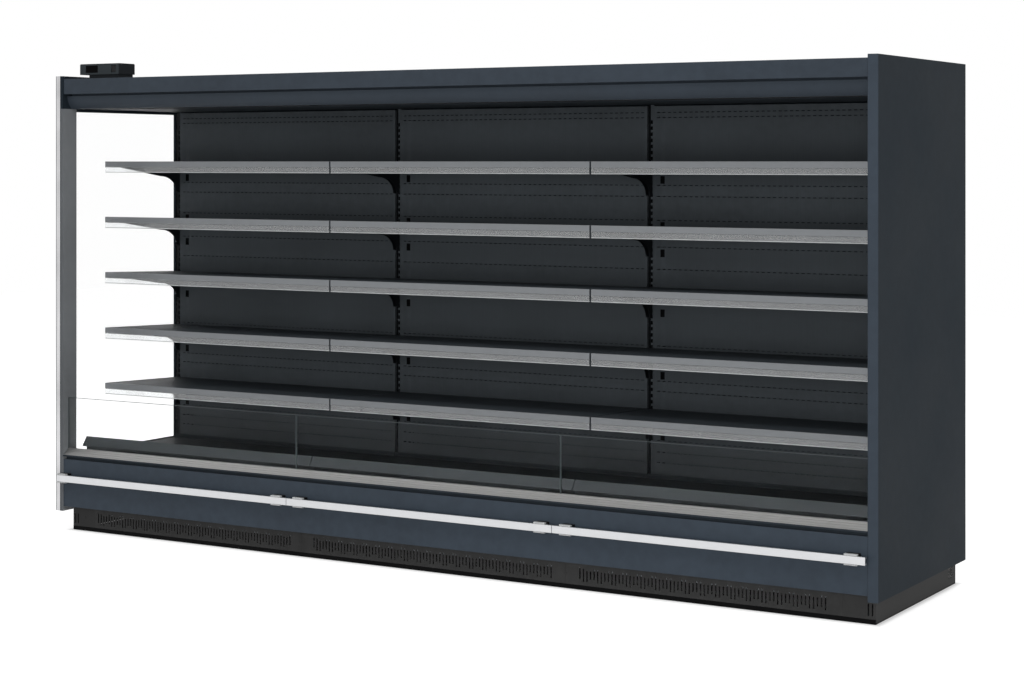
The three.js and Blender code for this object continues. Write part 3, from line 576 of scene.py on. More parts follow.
def dust_group() -> None:
    """Thin dust on faces that look up."""
    bench, given, result = new_group(Effect.DUST, ("Mask",), Amount=0.3, Scale=8.0)
    slanted_to_level = (0.6, 1.0)
    normal = bench.add("ShaderNodeSeparateXYZ", bench.add("ShaderNodeNewGeometry").outputs["Normal"])
    upward = bench.range(normal.outputs["Z"], slanted_to_level, (0, 1))
    patches = bench.range(bench.noise(given["Scale"], 5), (0.35, 0.75), (0.3, 1))
    bench.fill(result, Mask=bench.product(upward, patches, given["Amount"]))


# ---------------------------------------------------------------- finishes


def linear(red: int, green: int, blue: int) -> Colour:
    """An 8-bit sRGB colour as linear values."""
    shares = (level / 255 for level in (red, green, blue))
    return tuple(s / 12.92 if s <= 0.04045 else ((s + 0.055) / 1.055) ** 2.4 for s in shares)


def scaled(colour: Colour, factor: float) -> Colour:
    """A colour made lighter or darker."""
    return tuple(min(1.0, channel * factor) for channel in colour)


@dataclass(frozen=True)
class Finish:
    """A surface finish: one material, built when it is first used.

    The colour is given in 8-bit sRGB, bump heights in metres.
    """

    name: str
    slot: str
    colour: tuple[int, int, int]
    roughness: float = 0.5
    variation: float = 0.12

    def material(self) -> bpy.types.Material:
        """The finish's material.

        Returns:
            The material, the same one at every call.
        """
        known = bpy.data.materials.get(self.name)
        if known:
            return known
        made = bpy.data.materials.new(self.name)
        made.use_nodes = True
        self.wire(Bench(made.node_tree), made.node_tree.nodes["Principled BSDF"])
        return made

    def wire(self, bench: Bench, shader: bpy.types.Node) -> None:
        """Feeds the material's shader; each kind of finish has its own way."""
        raise NotImplementedError

    def tones(self, bench: Bench, shade: Socket, *layers: tuple[Socket, Colour]) -> Socket:
        """The finish's colour, varied a little, with other colours laid over it.

        Args:
            bench: the material's bench.
            shade: what the colour varies with.
            layers: masks and the colours that they lay on, in order.

        Returns:
            The colour.
        """
        base = linear(*self.colour)
        share = bench.range(shade, MIDDLE, (0, 1))
        colour = bench.blend(share, scaled(base, 1 - self.variation), scaled(base, 1 + self.variation))
        for mask, tint in layers:
            colour = bench.blend(mask, colour, tint)
        return colour

    def rough(
        self, bench: Bench, shade: Socket, below: float, above: float, source: Limits = MIDDLE
    ) -> Socket:
        """The finish's roughness, from a little below to a little above its value as the shade varies."""
        return bench.range(shade, source, (self.roughness - below, self.roughness + above))


@dataclass(frozen=True)
class Paint(Finish):
    """Powder paint, with orange peel, rubbed edges and a little dust."""

    wear: float = 0.25
    dust: float = 0.12
    peel: float = 0.00012
    gloss: float = 0.5
    lines: float = 0.0
    dust_colour: tuple[int, int, int] = (128, 128, 124)

    def wire(self, bench: Bench, shader: bpy.types.Node) -> None:
        """Feeds the shader of powder paint.

        Args:
            bench: the material's bench.
            shader: its shader.
        """
        grain = bench.effect(Effect.GRAIN, Scale=650.0, Cloud=2.2)
        worn = bench.effect(Effect.WEAR, Amount=self.wear)["Mask"]
        dusty = bench.effect(Effect.DUST, Amount=self.dust)["Mask"]
        base = linear(*self.colour)
        layers = [(worn, scaled(base, 2.0)), (dusty, linear(*self.dust_colour))]
        if self.lines:
            drawn = bench.effect(Effect.DRAWN, Scale=420.0, Cloud=1.5, Upright=1.0)["Shade"]
            layers.insert(0, (bench.range(drawn, (0.35, 0.65), (0, self.lines)), scaled(base, 0.6)))
        dulled = bench.product(dusty, 0.4)
        bench.fill(
            shader,
            Base_Color=self.tones(bench, grain["Shade"], *layers),
            Roughness=bench.sum("ADD", self.rough(bench, grain["Shade"], 0.05, 0.06), dulled, True),
            Specular_IOR_Level=self.gloss,
            Normal=bench.relief(grain["Height"], self.peel, 0.35),
        )


@dataclass(frozen=True)
class Aluminium(Finish):
    """Drawn and anodised aluminium, with lines along X, or along Z where upright is 1."""

    metallic: float = 1.0
    line_depth: float = 0.00004
    upright: float = 0.0

    def wire(self, bench: Bench, shader: bpy.types.Node) -> None:
        """Feeds the shader of the metal.

        Args:
            bench: the material's bench.
            shader: its shader.
        """
        lines = bench.effect(Effect.DRAWN, Scale=900.0, Cloud=2.0, Upright=self.upright)
        worn = bench.effect(Effect.WEAR, Amount=0.3)["Mask"]
        rubbed = scaled(linear(*self.colour), 1.25)
        bench.fill(
            shader,
            Base_Color=self.tones(bench, lines["Shade"], (worn, rubbed)),
            Metallic=self.metallic,
            Roughness=self.rough(bench, lines["Shade"], 0.06, 0.08),
            Normal=bench.relief(lines["Height"], self.line_depth, 0.4),
        )


@dataclass(frozen=True)
class Galvanised(Finish):
    """Hot-dip galvanised sheet with visible crystals."""

    dust_colour: tuple[int, int, int] = (120, 118, 112)

    def wire(self, bench: Bench, shader: bpy.types.Node) -> None:
        """Feeds the shader of the zinc.

        Args:
            bench: the material's bench.
            shader: its shader.
        """
        spangle = bench.effect(Effect.SPANGLE, Scale=80.0)
        dusty = bench.effect(Effect.DUST, Amount=0.25)["Mask"]
        bench.fill(
            shader,
            Base_Color=self.tones(bench, spangle["Shade"], (dusty, linear(*self.dust_colour))),
            Metallic=0.85,
            Roughness=self.rough(bench, spangle["Shade"], 0.1, 0.1, (0.2, 0.8)),
            Normal=bench.relief(spangle["Height"], 0.0002, 0.15),
        )


@dataclass(frozen=True)
class Glass(Finish):
    """Clear glass with a faint film that varies its gloss."""

    film: float = 0.02
    bending: float = 1.5

    def wire(self, bench: Bench, shader: bpy.types.Node) -> None:
        """Feeds the shader of the glass.

        Args:
            bench: the material's bench.
            shader: its shader.
        """
        shade = bench.effect(Effect.GRAIN, Scale=60.0, Cloud=1.5)["Shade"]
        bench.fill(
            shader,
            Base_Color=self.tones(bench, shade),
            Transmission_Weight=1.0,
            IOR=self.bending,
            Roughness=self.rough(bench, shade, 0, self.film, (0.4, 0.8)),
        )


@dataclass(frozen=True)
class Plastic(Finish):
    """Moulded or extruded plastic, plain or milky."""

    clear: float = 0.0
    texture: float = 0.00008
    wear: float = 0.15
    gloss: float = 0.5

    def wire(self, bench: Bench, shader: bpy.types.Node) -> None:
        """Feeds the shader of the plastic.

        Args:
            bench: the material's bench.
            shader: its shader.
        """
        grain = bench.effect(Effect.GRAIN, Scale=1100.0, Cloud=5.0)
        worn = bench.effect(Effect.WEAR, Amount=self.wear)["Mask"]
        rubbed = scaled(linear(*self.colour), 1.6)
        bench.fill(
            shader,
            Base_Color=self.tones(bench, grain["Shade"], (worn, rubbed)),
            Roughness=self.rough(bench, grain["Shade"], 0.05, 0.07),
            Transmission_Weight=self.clear,
            Specular_IOR_Level=self.gloss,
            Normal=bench.relief(grain["Height"], self.texture, 0.4),
        )


@dataclass(frozen=True)
class Rubber(Finish):
    """Matt black rubber with dust in its grain."""

    dust_colour: tuple[int, int, int] = (90, 88, 84)

    def wire(self, bench: Bench, shader: bpy.types.Node) -> None:
        """Feeds the shader of the rubber.

        Args:
            bench: the material's bench.
            shader: its shader.
        """
        grain = bench.effect(Effect.GRAIN, Scale=400.0, Cloud=8.0)
        dusty = bench.effect(Effect.DUST, Amount=0.1)["Mask"]
        bench.fill(
            shader,
            Base_Color=self.tones(bench, grain["Shade"], (dusty, linear(*self.dust_colour))),
            Roughness=self.rough(bench, grain["Shade"], 0.08, 0.08),
            Specular_IOR_Level=0.1,
            Normal=bench.relief(grain["Height"], 0.0002, 0.5),
        )


GRAPHITE = Paint("graphite_powder_paint", "graphite_paint", (54, 62, 71), 0.5, gloss=0.15)
# The graphite painted a little darker on fascia and visor: painted shade.
CANOPY_SHADED = Paint("canopy_painted_shade", "graphite_paint", (50, 57, 65), 0.5, gloss=0.15)
# A darker copy of the graphite paint, painted shade: on the end walls' sides, the rear wall, the stile above
# the canopy's foot and the trim's outer edge.
GRAPHITE_SHADED = Paint("graphite_painted_shade", "graphite_paint", (33, 40, 46), 0.6, gloss=0.05)
# Dark paint on the profile's nose: painted shadow under the profile's overhang.
NOSE_SHADE_PAINT = Paint("painted_shade_nose", "satin_aluminium", (44, 50, 56), 0.55, gloss=0.08, dust=0.0)
# Lighter than the outer graphite, to make up for the shade inside the cabinet: painted light.
DARK = Paint("inner_paint_painted_light", "dark_paint", (66, 71, 75), 0.55, gloss=0.15, dust=0.05, lines=0.3)
DARK_CEILING = Paint("dark_ceiling_paint", "dark_paint", (50, 56, 62), 0.55, gloss=0.15, dust=0.05)
# Black on an upright's edge beside its slots: painted shadow of the groove between panel and upright.
SHADOW_STRIP = Paint("painted_shadow_upright_edge", "dark_paint", (14, 16, 18), 0.7, gloss=0.05, dust=0.0)
# Dark on the first upright beside the left end wall, over its slots: painted shade in that corner.
END_SHADE_STRIP = Paint("painted_shade_end_upright", "dark_paint", (36, 37, 38), 0.6, gloss=0.08, dust=0.0)
# Very dark paint on the base tub, which shows through the air slot: painted shade.
TUB_SHADE_PAINT = Paint("painted_shade_tub", "dark_paint", (30, 33, 35), 0.6, gloss=0.1)
GREY_STILE = Paint("grey_stile_paint", "dark_paint", (129, 132, 135), 0.4, gloss=0.2)
# A darker copy of the stile's grey for its front faces: painted shade.
STILE_FRONT_SHADED = Paint("grey_stile_front_painted_shade", "dark_paint", (96, 99, 102), 0.5, gloss=0.1)
PLINTH = Paint("plinth_paint", "dark_paint", (58, 58, 58), 0.6, gloss=0.08)
BLACK = Paint("black_shelf_paint", "black_paint", (18, 20, 23), 0.5, gloss=0.2, dust=0.06)
SHELF_TOP = Paint("shelf_tray_paint", "black_paint", (50, 57, 63), 0.5, gloss=0.2, dust=0.1)
# Darker than the tray paint, for the deck behind the riser glass: painted shade.
DECK_SHADE_PAINT = Paint("deck_painted_shade", "graphite_paint", (41, 47, 51), 0.5, gloss=0.15, dust=0.05)
RAIL_GREY = Paint("deck_rail_paint", "graphite_paint", (72, 77, 80), 0.45, gloss=0.15)
BRIGHT = Aluminium("bright_anodised_rail", "bright_aluminium", (210, 211, 213), 0.34, 0.04)
# Its colour swings widely along Z with a slow cloud: painted reflection on the bright trim.
CHROME_PAINTED_REFLECTION = Aluminium("bright_trim_painted_reflection", "bright_aluminium", (205, 205, 207), 0.18, 0.42, upright=1.0)
SATIN = Aluminium("satin_anodised_profile", "satin_aluminium", (174, 174, 173), 0.42, 0.06)
TICKET_RAIL = Aluminium("ticket_rail_face", "satin_aluminium", (124, 127, 130), 0.45, 0.08, 0.6)
TICKET_STRIP = Plastic("clear_ticket_strip", "clear_glass", (247, 249, 250), 0.05, 0.02, 0.91, 0.0, 0.0, 0.1)
TICKET_BEAD = Plastic("milky_bead", "clear_glass", (200, 202, 203), 0.35, 0.03, 0.5)
ZINC = Galvanised("zinc_sheet", "galvanised_steel", (150, 154, 158), 0.42, 0.2)
FIN_METAL = Aluminium("coil_fins", "galvanised_steel", (185, 188, 190), 0.35, 0.1)
COPPER = Aluminium("copper_tube", "galvanised_steel", (184, 112, 78), 0.3, 0.1)
CLEAR = Glass("clear_float_glass", "clear_glass", (255, 255, 255), 0.0, 0.0, 0.004, 1.08)
GLASS_EDGE = Plastic("ground_glass_edge", "clear_glass", (84, 94, 97), 0.4, 0.06, 0.2)
CLIP = Plastic("milky_clip", "bright_aluminium", (214, 216, 217), 0.35, 0.05, 0.3)
OPAL = Plastic("opal_diffuser", "white_plastic", (120, 122, 124), 0.45, 0.04, 0.2)
BLACK_PLASTIC = Plastic("black_moulded_plastic", "black_plastic", (20, 21, 23), 0.5, 0.15, gloss=0.25)
SOCKET_PLASTIC = Plastic("black_socket", "black_plastic", (8, 9, 10), 0.6, 0.1, gloss=0.05)
# A lighter copy of the box's plastic for its front: painted light.
BOX_FACE_LIT = Plastic("box_face_painted_light", "black_plastic", (50, 55, 58), 0.5, 0.1, gloss=0.08)
BOX_PLASTIC = Plastic("box_plastic", "black_plastic", (26, 29, 32), 0.5, 0.1, gloss=0.08)
LENS = Plastic("dark_lens", "black_plastic", (4, 4, 5), 0.12, 0.1, 0.0, 0.00001, 0.0, 0.03)
GASKET = Rubber("black_gasket", "black_rubber", (10, 10, 11), 0.75, 0.15)


# ---------------------------------------------------------------- pieces


@dataclass(frozen=True)
class Layout:
    """Places that every sub-assembly shares, read from the solid model.

    The front is that of the end walls, inner is the right one's inner face, and panels is the face
    of the rear panels.
    """

    front: float
    inner: float
    panels: float
    nodes: dict[str, bpy.types.Object]

    @classmethod
    def read(cls, nodes: dict[str, bpy.types.Object]) -> Layout:
        """Reads the layout from the right end wall and the rear panels."""
        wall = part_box("end_wall_right")[0]
        return cls(wall.y, wall.x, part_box("rear_panel_left")[0].y, nodes)

    def joint(self, index: int) -> float:
        """X of a bay joint; 0 is the left end wall."""
        return along((-self.inner, self.inner), index / len(BAYS))


@dataclass
class SubAssembly:
    """What the sub-assemblies have in common: they draw pieces and fasten them to bodies."""

    layout: Layout

    def build(self) -> None:
        """Builds the sub-assembly's pieces; each kind has its own."""
        raise NotImplementedError

    def piece(
        self,
        name: str,
        draft: Draft,
        finish: Finish,
        body: str = CASE,
        replaces: str = "",
        edge: float = EDGE,
        shadow: bool = True,
    ) -> bpy.types.Object:
        """Makes one piece of the cabinet.

        Args:
            name: the piece's name.
            draft: its shape.
            finish: its surface finish.
            body: the body that it moves with.
            replaces: the CAD node that it stands for, if any.
            edge: width of its rounded edges, 0 for none.
            shadow: whether it throws a shadow.

        Returns:
            The piece.
        """
        made = placed(name, draft.mesh(name))
        made.data.materials.append(finish.material())
        if edge:
            made.data.shade_smooth()
            bevel = made.modifiers.new("edges", "BEVEL")
            bevel.width = edge
            bevel.segments = EDGE_STEPS
            bevel.limit_method = "ANGLE"
            bevel.angle_limit = SHARP
            bevel.miter_outer = "MITER_ARC"
            made.modifiers.new("flat_faces", "WEIGHTED_NORMAL").keep_sharp = False
        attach(made, body)
        if replaces:
            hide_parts(replaces)
        made.visible_shadow = shadow
        log.info("%s on %s: %s", name, body, finish.name)
        return made

    def softened(
        self,
        node: str,
        finish: Finish,
        edge: float = EDGE,
        body: str = CASE,
        pierced: bool = False,
        score: tuple[Axis, float] | None = None,
    ) -> bpy.types.Object:
        """A CAD node's own shape with rounded edges and a real finish.

        Args:
            node: the CAD node.
            finish: its finish.
            edge: width of its rounded edges.
            body: the body that it moves with.
            pierced: whether its flat faces have holes.
            score: axis and place of a line where another finish may start.

        Returns:
            The piece.
        """
        draft = Draft().copied(self.layout.nodes[node], pierced)
        if score:
            draft.scored(*score)
        return self.piece(f"{node}_skin", draft, finish, body, node, edge)

    def dress(self, node: str, finish: Finish) -> None:
        """Gives a CAD node that stays as it is a real finish.

        Args:
            node: the CAD node.
            finish: its finish.
        """
        slots = self.layout.nodes[node].data.materials
        slots.clear()
        slots.append(finish.material())

    def repaint(
        self, piece: bpy.types.Object, finish: Finish, chosen: Callable[[Vector, Vector], bool]
    ) -> None:
        """Gives some faces of a piece another finish.

        Args:
            piece: the piece.
            finish: the other finish.
            chosen: says for a face's centre and normal whether it takes the other finish.
        """
        piece.data.materials.append(finish.material())
        index = len(piece.data.materials) - 1
        for face in piece.data.polygons:
            if chosen(face.center, face.normal):
                face.material_index = index


@dataclass
class Casework(SubAssembly):
    """End walls, pane, rear wall and roof."""

    wall_edge: float = 0.0012
    pane_share: float = 1 / 6
    pane_rim: float = 0.007
    pane_bite: float = 0.00775
    window_front: float = 0.088
    window_reach: float = 0.042
    window_rebate: float = 0.012
    sheet_joint: float = 0.004
    joint_recess: float = 0.004
    trim_seam: float = 0.004
    trim_shade_line: float = 0.003

    def build(self) -> None:
        """Builds the casework."""
        # The wall's sides take the darker copy, painted shade; its front faces keep the plain graphite.
        wall = self.softened("end_wall_right", GRAPHITE_SHADED, self.wall_edge)
        self.repaint(wall, GRAPHITE, lambda centre, normal: normal.y < -MOSTLY)
        self.glazed_wall()
        self.pane()
        self.trim("end_trim_left")
        self.sheets("rear_wall", GRAPHITE_SHADED)
        self.sheets("roof", GRAPHITE)

    def glazed_wall(self) -> None:
        """The left end wall's frame: the window reaches the rear panels, its front stile is grey below the
        canopy; above the canopy's foot it keeps the darker graphite, a painted shadow of the canopy.
        """
        limit = self.layout.front + self.window_front
        visor_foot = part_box("canopy_visor")[0].z
        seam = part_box("end_trim_left")[1].x + self.trim_seam
        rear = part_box("end_glass_left")[1].y - self.pane_bite
        draft = Draft().copied(self.layout.nodes["end_wall_left"], True)
        draft.shifted(
            lambda at: rear - SHEET < at.y < rear + self.window_rebate, Vector((0, self.window_reach, 0))
        )
        draft.scored(Axis.Y, limit).scored(Axis.Z, visor_foot).scored(Axis.X, seam)
        wall = self.piece("end_wall_left_skin", draft, GRAPHITE_SHADED, replaces="end_wall_left", edge=0.0004)

        def on_stile(centre: Vector) -> bool:
            """Whether a face is on the window's front stile, below the canopy."""
            return centre.y < limit and centre.z < visor_foot

        # Below the canopy's foot the stile is grey; above it, the darker graphite stays as painted shadow of
        # the canopy.
        self.repaint(wall, GREY_STILE, lambda centre, normal: normal.x > SQUARELY and on_stile(centre))
        # The stile's front faces take the darker grey, painted shade.
        self.repaint(
            wall,
            STILE_FRONT_SHADED,
            lambda centre, normal: normal.y < -SQUARELY and centre.x > seam and on_stile(centre),
        )

    def trim(self, node: str) -> None:
        """The bright front trim with a dark line of painted shade along its outer edge.

        Args:
            node: its CAD node.
        """
        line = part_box(node)[0].x + self.trim_shade_line
        skin = self.softened(node, CHROME_PAINTED_REFLECTION, score=(Axis.X, line))
        # The trim's outer edge takes the darker graphite: painted shade.
        self.repaint(skin, GRAPHITE_SHADED, lambda centre, normal: normal.y < -MOSTLY and centre.x < line)

    def pane(self) -> None:
        """Double glazing with a black spacer round its edge."""
        x, y, z = limits("end_glass_left")
        y = (y[0], y[1] + self.window_reach)
        thickness = (x[1] - x[0]) * self.pane_share
        panes = Draft()
        for sheet in ends(x, thickness):
            panes.block(sheet, y, z)
        self.piece("end_glass_left_panes", panes, CLEAR, replaces="end_glass_left", edge=0, shadow=False)
        spacer = Draft()
        for bar in ends(z, self.pane_rim):
            spacer.block(inset(x, thickness), y, bar)
        for bar in ends(y, self.pane_rim):
            spacer.block(inset(x, thickness), bar, inset(z, self.pane_rim))
        self.piece("end_glass_left_spacer", spacer, GASKET, edge=0.0005)

    def sheets(self, node: str, finish: Finish) -> None:
        """A long panel as one sheet to each bay, with fine recessed joints between them.

        Args:
            node: its CAD node.
            finish: its finish.
        """
        x, y, z = limits(node)
        joints = [about(self.layout.joint(index), self.sheet_joint) for index in range(1, len(BAYS))]
        edges = [x[0], *(edge for joint in joints for edge in joint), x[1]]
        draft = Draft()
        for sheet in zip(edges[::2], edges[1::2]):
            draft.block(sheet, y, z)
        for joint in joints:
            draft.block(joint, inset(y, self.joint_recess), inset(z, self.joint_recess))
        self.piece(f"{node}_sheets", draft, finish, replaces=node, edge=0.001)


@dataclass
class Canopy(SubAssembly):
    """Fascia, visor, lamp, air outlet and ceiling."""

    cell: float = 0.0125
    cell_wall: float = 0.0008
    comb_foot: float = 0.002
    rim: float = 0.004
    visor_toe: float = 0.028
    visor_lip: float = 0.008
    visor_leg: float = 0.032
    visor_gap: float = 0.0085
    visor_pull: float = 1 / 2.4
    curve_steps: int = 20

    def build(self) -> None:
        """Builds the canopy."""
        self.softened("canopy_fascia", CANOPY_SHADED, 0.0009)
        self.visor()
        diffuser = Draft().copied(self.layout.nodes["canopy_lamp"])
        self.piece("canopy_lamp_diffuser", diffuser, OPAL, replaces="canopy_lamp", edge=0.0008)
        self.outlet()
        self.softened("ceiling_panel", DARK_CEILING, 0.0005)

    def visor(self) -> None:
        """The visor with its true curve, a lip at its foot and a leg that carries it."""
        low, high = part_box("canopy_visor")
        face, foot = low.y, low.z
        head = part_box("canopy_fascia")[0].z - self.visor_gap
        toe, leg = face + self.visor_toe, face + self.visor_leg
        lip, rear = toe + self.visor_lip, leg + SHEET
        pull = along((foot, head), self.visor_pull)
        outer = bend((face, head), (face + SHEET, pull), (toe, foot), self.curve_steps)
        middle = (face + 2.25 * SHEET, pull + SHEET / 2)
        inner = bend((toe + SHEET / 2, foot + SHEET), middle, (face + SHEET, head - SHEET), self.curve_steps)
        outline = [
            *outer, (lip, foot), (lip, foot + SHEET),
            *inner, (rear, head - SHEET), (rear, high.z), (leg, high.z), (leg, head),
        ]
        draft = Draft().extrude(outline, Axis.X, (low.x, high.x))
        self.piece("canopy_visor_sheet", draft, CANOPY_SHADED, replaces="canopy_visor", edge=0.0004)

    def outlet(self) -> None:
        """The air outlet: a rim and a fine comb of thin walls."""
        x, y, z = limits("air_outlet")
        long, deep = inset(x, self.rim), inset(y, self.rim)
        frame = Draft()
        for bar in ends(y, self.rim):
            frame.block(x, bar, z)
        for index in range(len(BAYS) + 1):
            middle = held(self.layout.joint(index), inset(x, self.rim / 2))
            frame.block(about(middle, self.rim), deep, z)
        self.piece("air_outlet_frame", frame, BLACK_PLASTIC, replaces="air_outlet", edge=0)
        height = (z[0] + self.comb_foot, z[1])
        columns, rows = (round((span[1] - span[0]) / self.cell) for span in (long, deep))
        comb = Draft()
        for row in range(1, rows):
            comb.block(long, about(along(deep, row / rows), self.cell_wall), height)
        for column in range(1, columns):
            comb.block(about(along(long, column / columns), self.cell_wall), deep, height)
        self.piece("air_outlet_comb", comb, BLACK_PLASTIC, edge=0)


@dataclass
class RearDuct(SubAssembly):
    """Perforated rear panels, slotted uprights and lamp sockets."""

    dash: float = 0.0145
    dash_pitch: float = 0.0245
    dash_height: float = 0.0034
    first_dash: float = 0.013
    last_dash: float = 0.014
    rows: tuple[float, ...] = (
        1.834, 1.813, 1.535, 1.489, 1.391, 1.281, 1.190, 0.875, 0.731, 0.689, 0.487, 0.440, 0.397,
    )
    socket_x: float = 0.062
    socket: Point = (0.020, 0.032)
    socket_tops: tuple[float, ...] = (1.573, 1.384, 1.272, 1.026, 0.770, 0.520)
    socket_face: Limits = (0.0006, 0.005)
    socket_depth: float = 0.014
    contact: Limits = (0.004, 0.009)
    slot_edge: float = 0.009
    end_edge: float = 0.018

    def build(self) -> None:
        """Builds the rear of the inside."""
        for bay, name in enumerate(BAYS):
            self.panel(bay, f"rear_panel_{name}")
            self.sockets(bay, f"rear_panel_{name}")
        for index in range(len(BAYS) + 1):
            self.upright(index, f"upright_{index + 1}")

    def upright(self, index: int, node: str) -> None:
        """One slotted upright; its edge beside the slots carries black painted shadow, at the left end wall
        dark painted shade.

        Args:
            index: the bay joint that it stands at.
            node: its CAD node.
        """
        edge, finish = (self.slot_edge, SHADOW_STRIP) if index else (self.end_edge, END_SHADE_STRIP)
        limit = self.layout.joint(index) + edge
        skin = self.softened(node, DARK, 0.0003, pierced=True, score=(Axis.X, limit))
        # The edge beside the slots takes the painted shadow.
        if index < len(BAYS):
            self.repaint(skin, finish, lambda centre, normal: centre.x < limit)

    def panel(self, bay: int, node: str) -> None:
        """One duct panel: rows of air slots, socket holes and returned edges.

        Args:
            bay: its bay.
            node: its CAD node.
        """
        x, y, z = limits(node)
        start = x[0] + self.first_dash
        count = int((x[1] - self.last_dash - start - self.dash) / self.dash_pitch) + 1
        starts = [start + i * self.dash_pitch for i in range(count)]
        dashes = [(place, place + self.dash) for place in starts]
        socket = about(self.layout.joint(bay) + self.socket_x, self.socket[0])
        holes = [(dash, about(row, self.dash_height)) for dash in dashes for row in self.rows]
        holes += [(socket, (top - self.socket[1], top)) for top in self.socket_tops]
        draft = Draft().pierced(x, (y[0], y[0] + SHEET), z, holes)
        behind = (y[0] + SHEET, y[1])
        for side in ends(x, SHEET):
            draft.block(side, behind, z)
        for bar in ends(z, SHEET):
            draft.block(inset(x, SHEET), behind, bar)
        self.piece(f"{node}_sheet", draft, DARK, replaces=node, edge=0)

    def sockets(self, bay: int, node: str) -> None:
        """The small black sockets for shelf lamps, each with two contact slots.

        Args:
            bay: their bay.
            node: the CAD node of the panel that they sit in.
        """
        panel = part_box(node)[0].y
        front, floor = (panel + depth for depth in self.socket_face)
        middle, width = self.layout.joint(bay) + self.socket_x, self.socket[0] - 2 * SEAT
        x, slot = about(middle, width), about(middle, width / 3)
        draft = Draft()
        for top in self.socket_tops:
            z = inset((top - self.socket[1], top), SEAT)
            level = along(z, 0.5)
            near, far = self.contact
            slots = [(slot, (level - far, level - near)), (slot, (level + near, level + far))]
            draft.pierced(x, (front, floor), z, slots)
            draft.block(x, (floor, panel + self.socket_depth), z)
        self.piece(f"{node}_sockets", draft, SOCKET_PLASTIC, edge=0.0004)


@dataclass(frozen=True)
class Shelf:
    """Where one shelf is: X of its ends, Y of its nose and of the tray's front and rear, Z of its top."""

    bay: int
    span: Limits
    front: float
    near: float
    far: float
    top: float


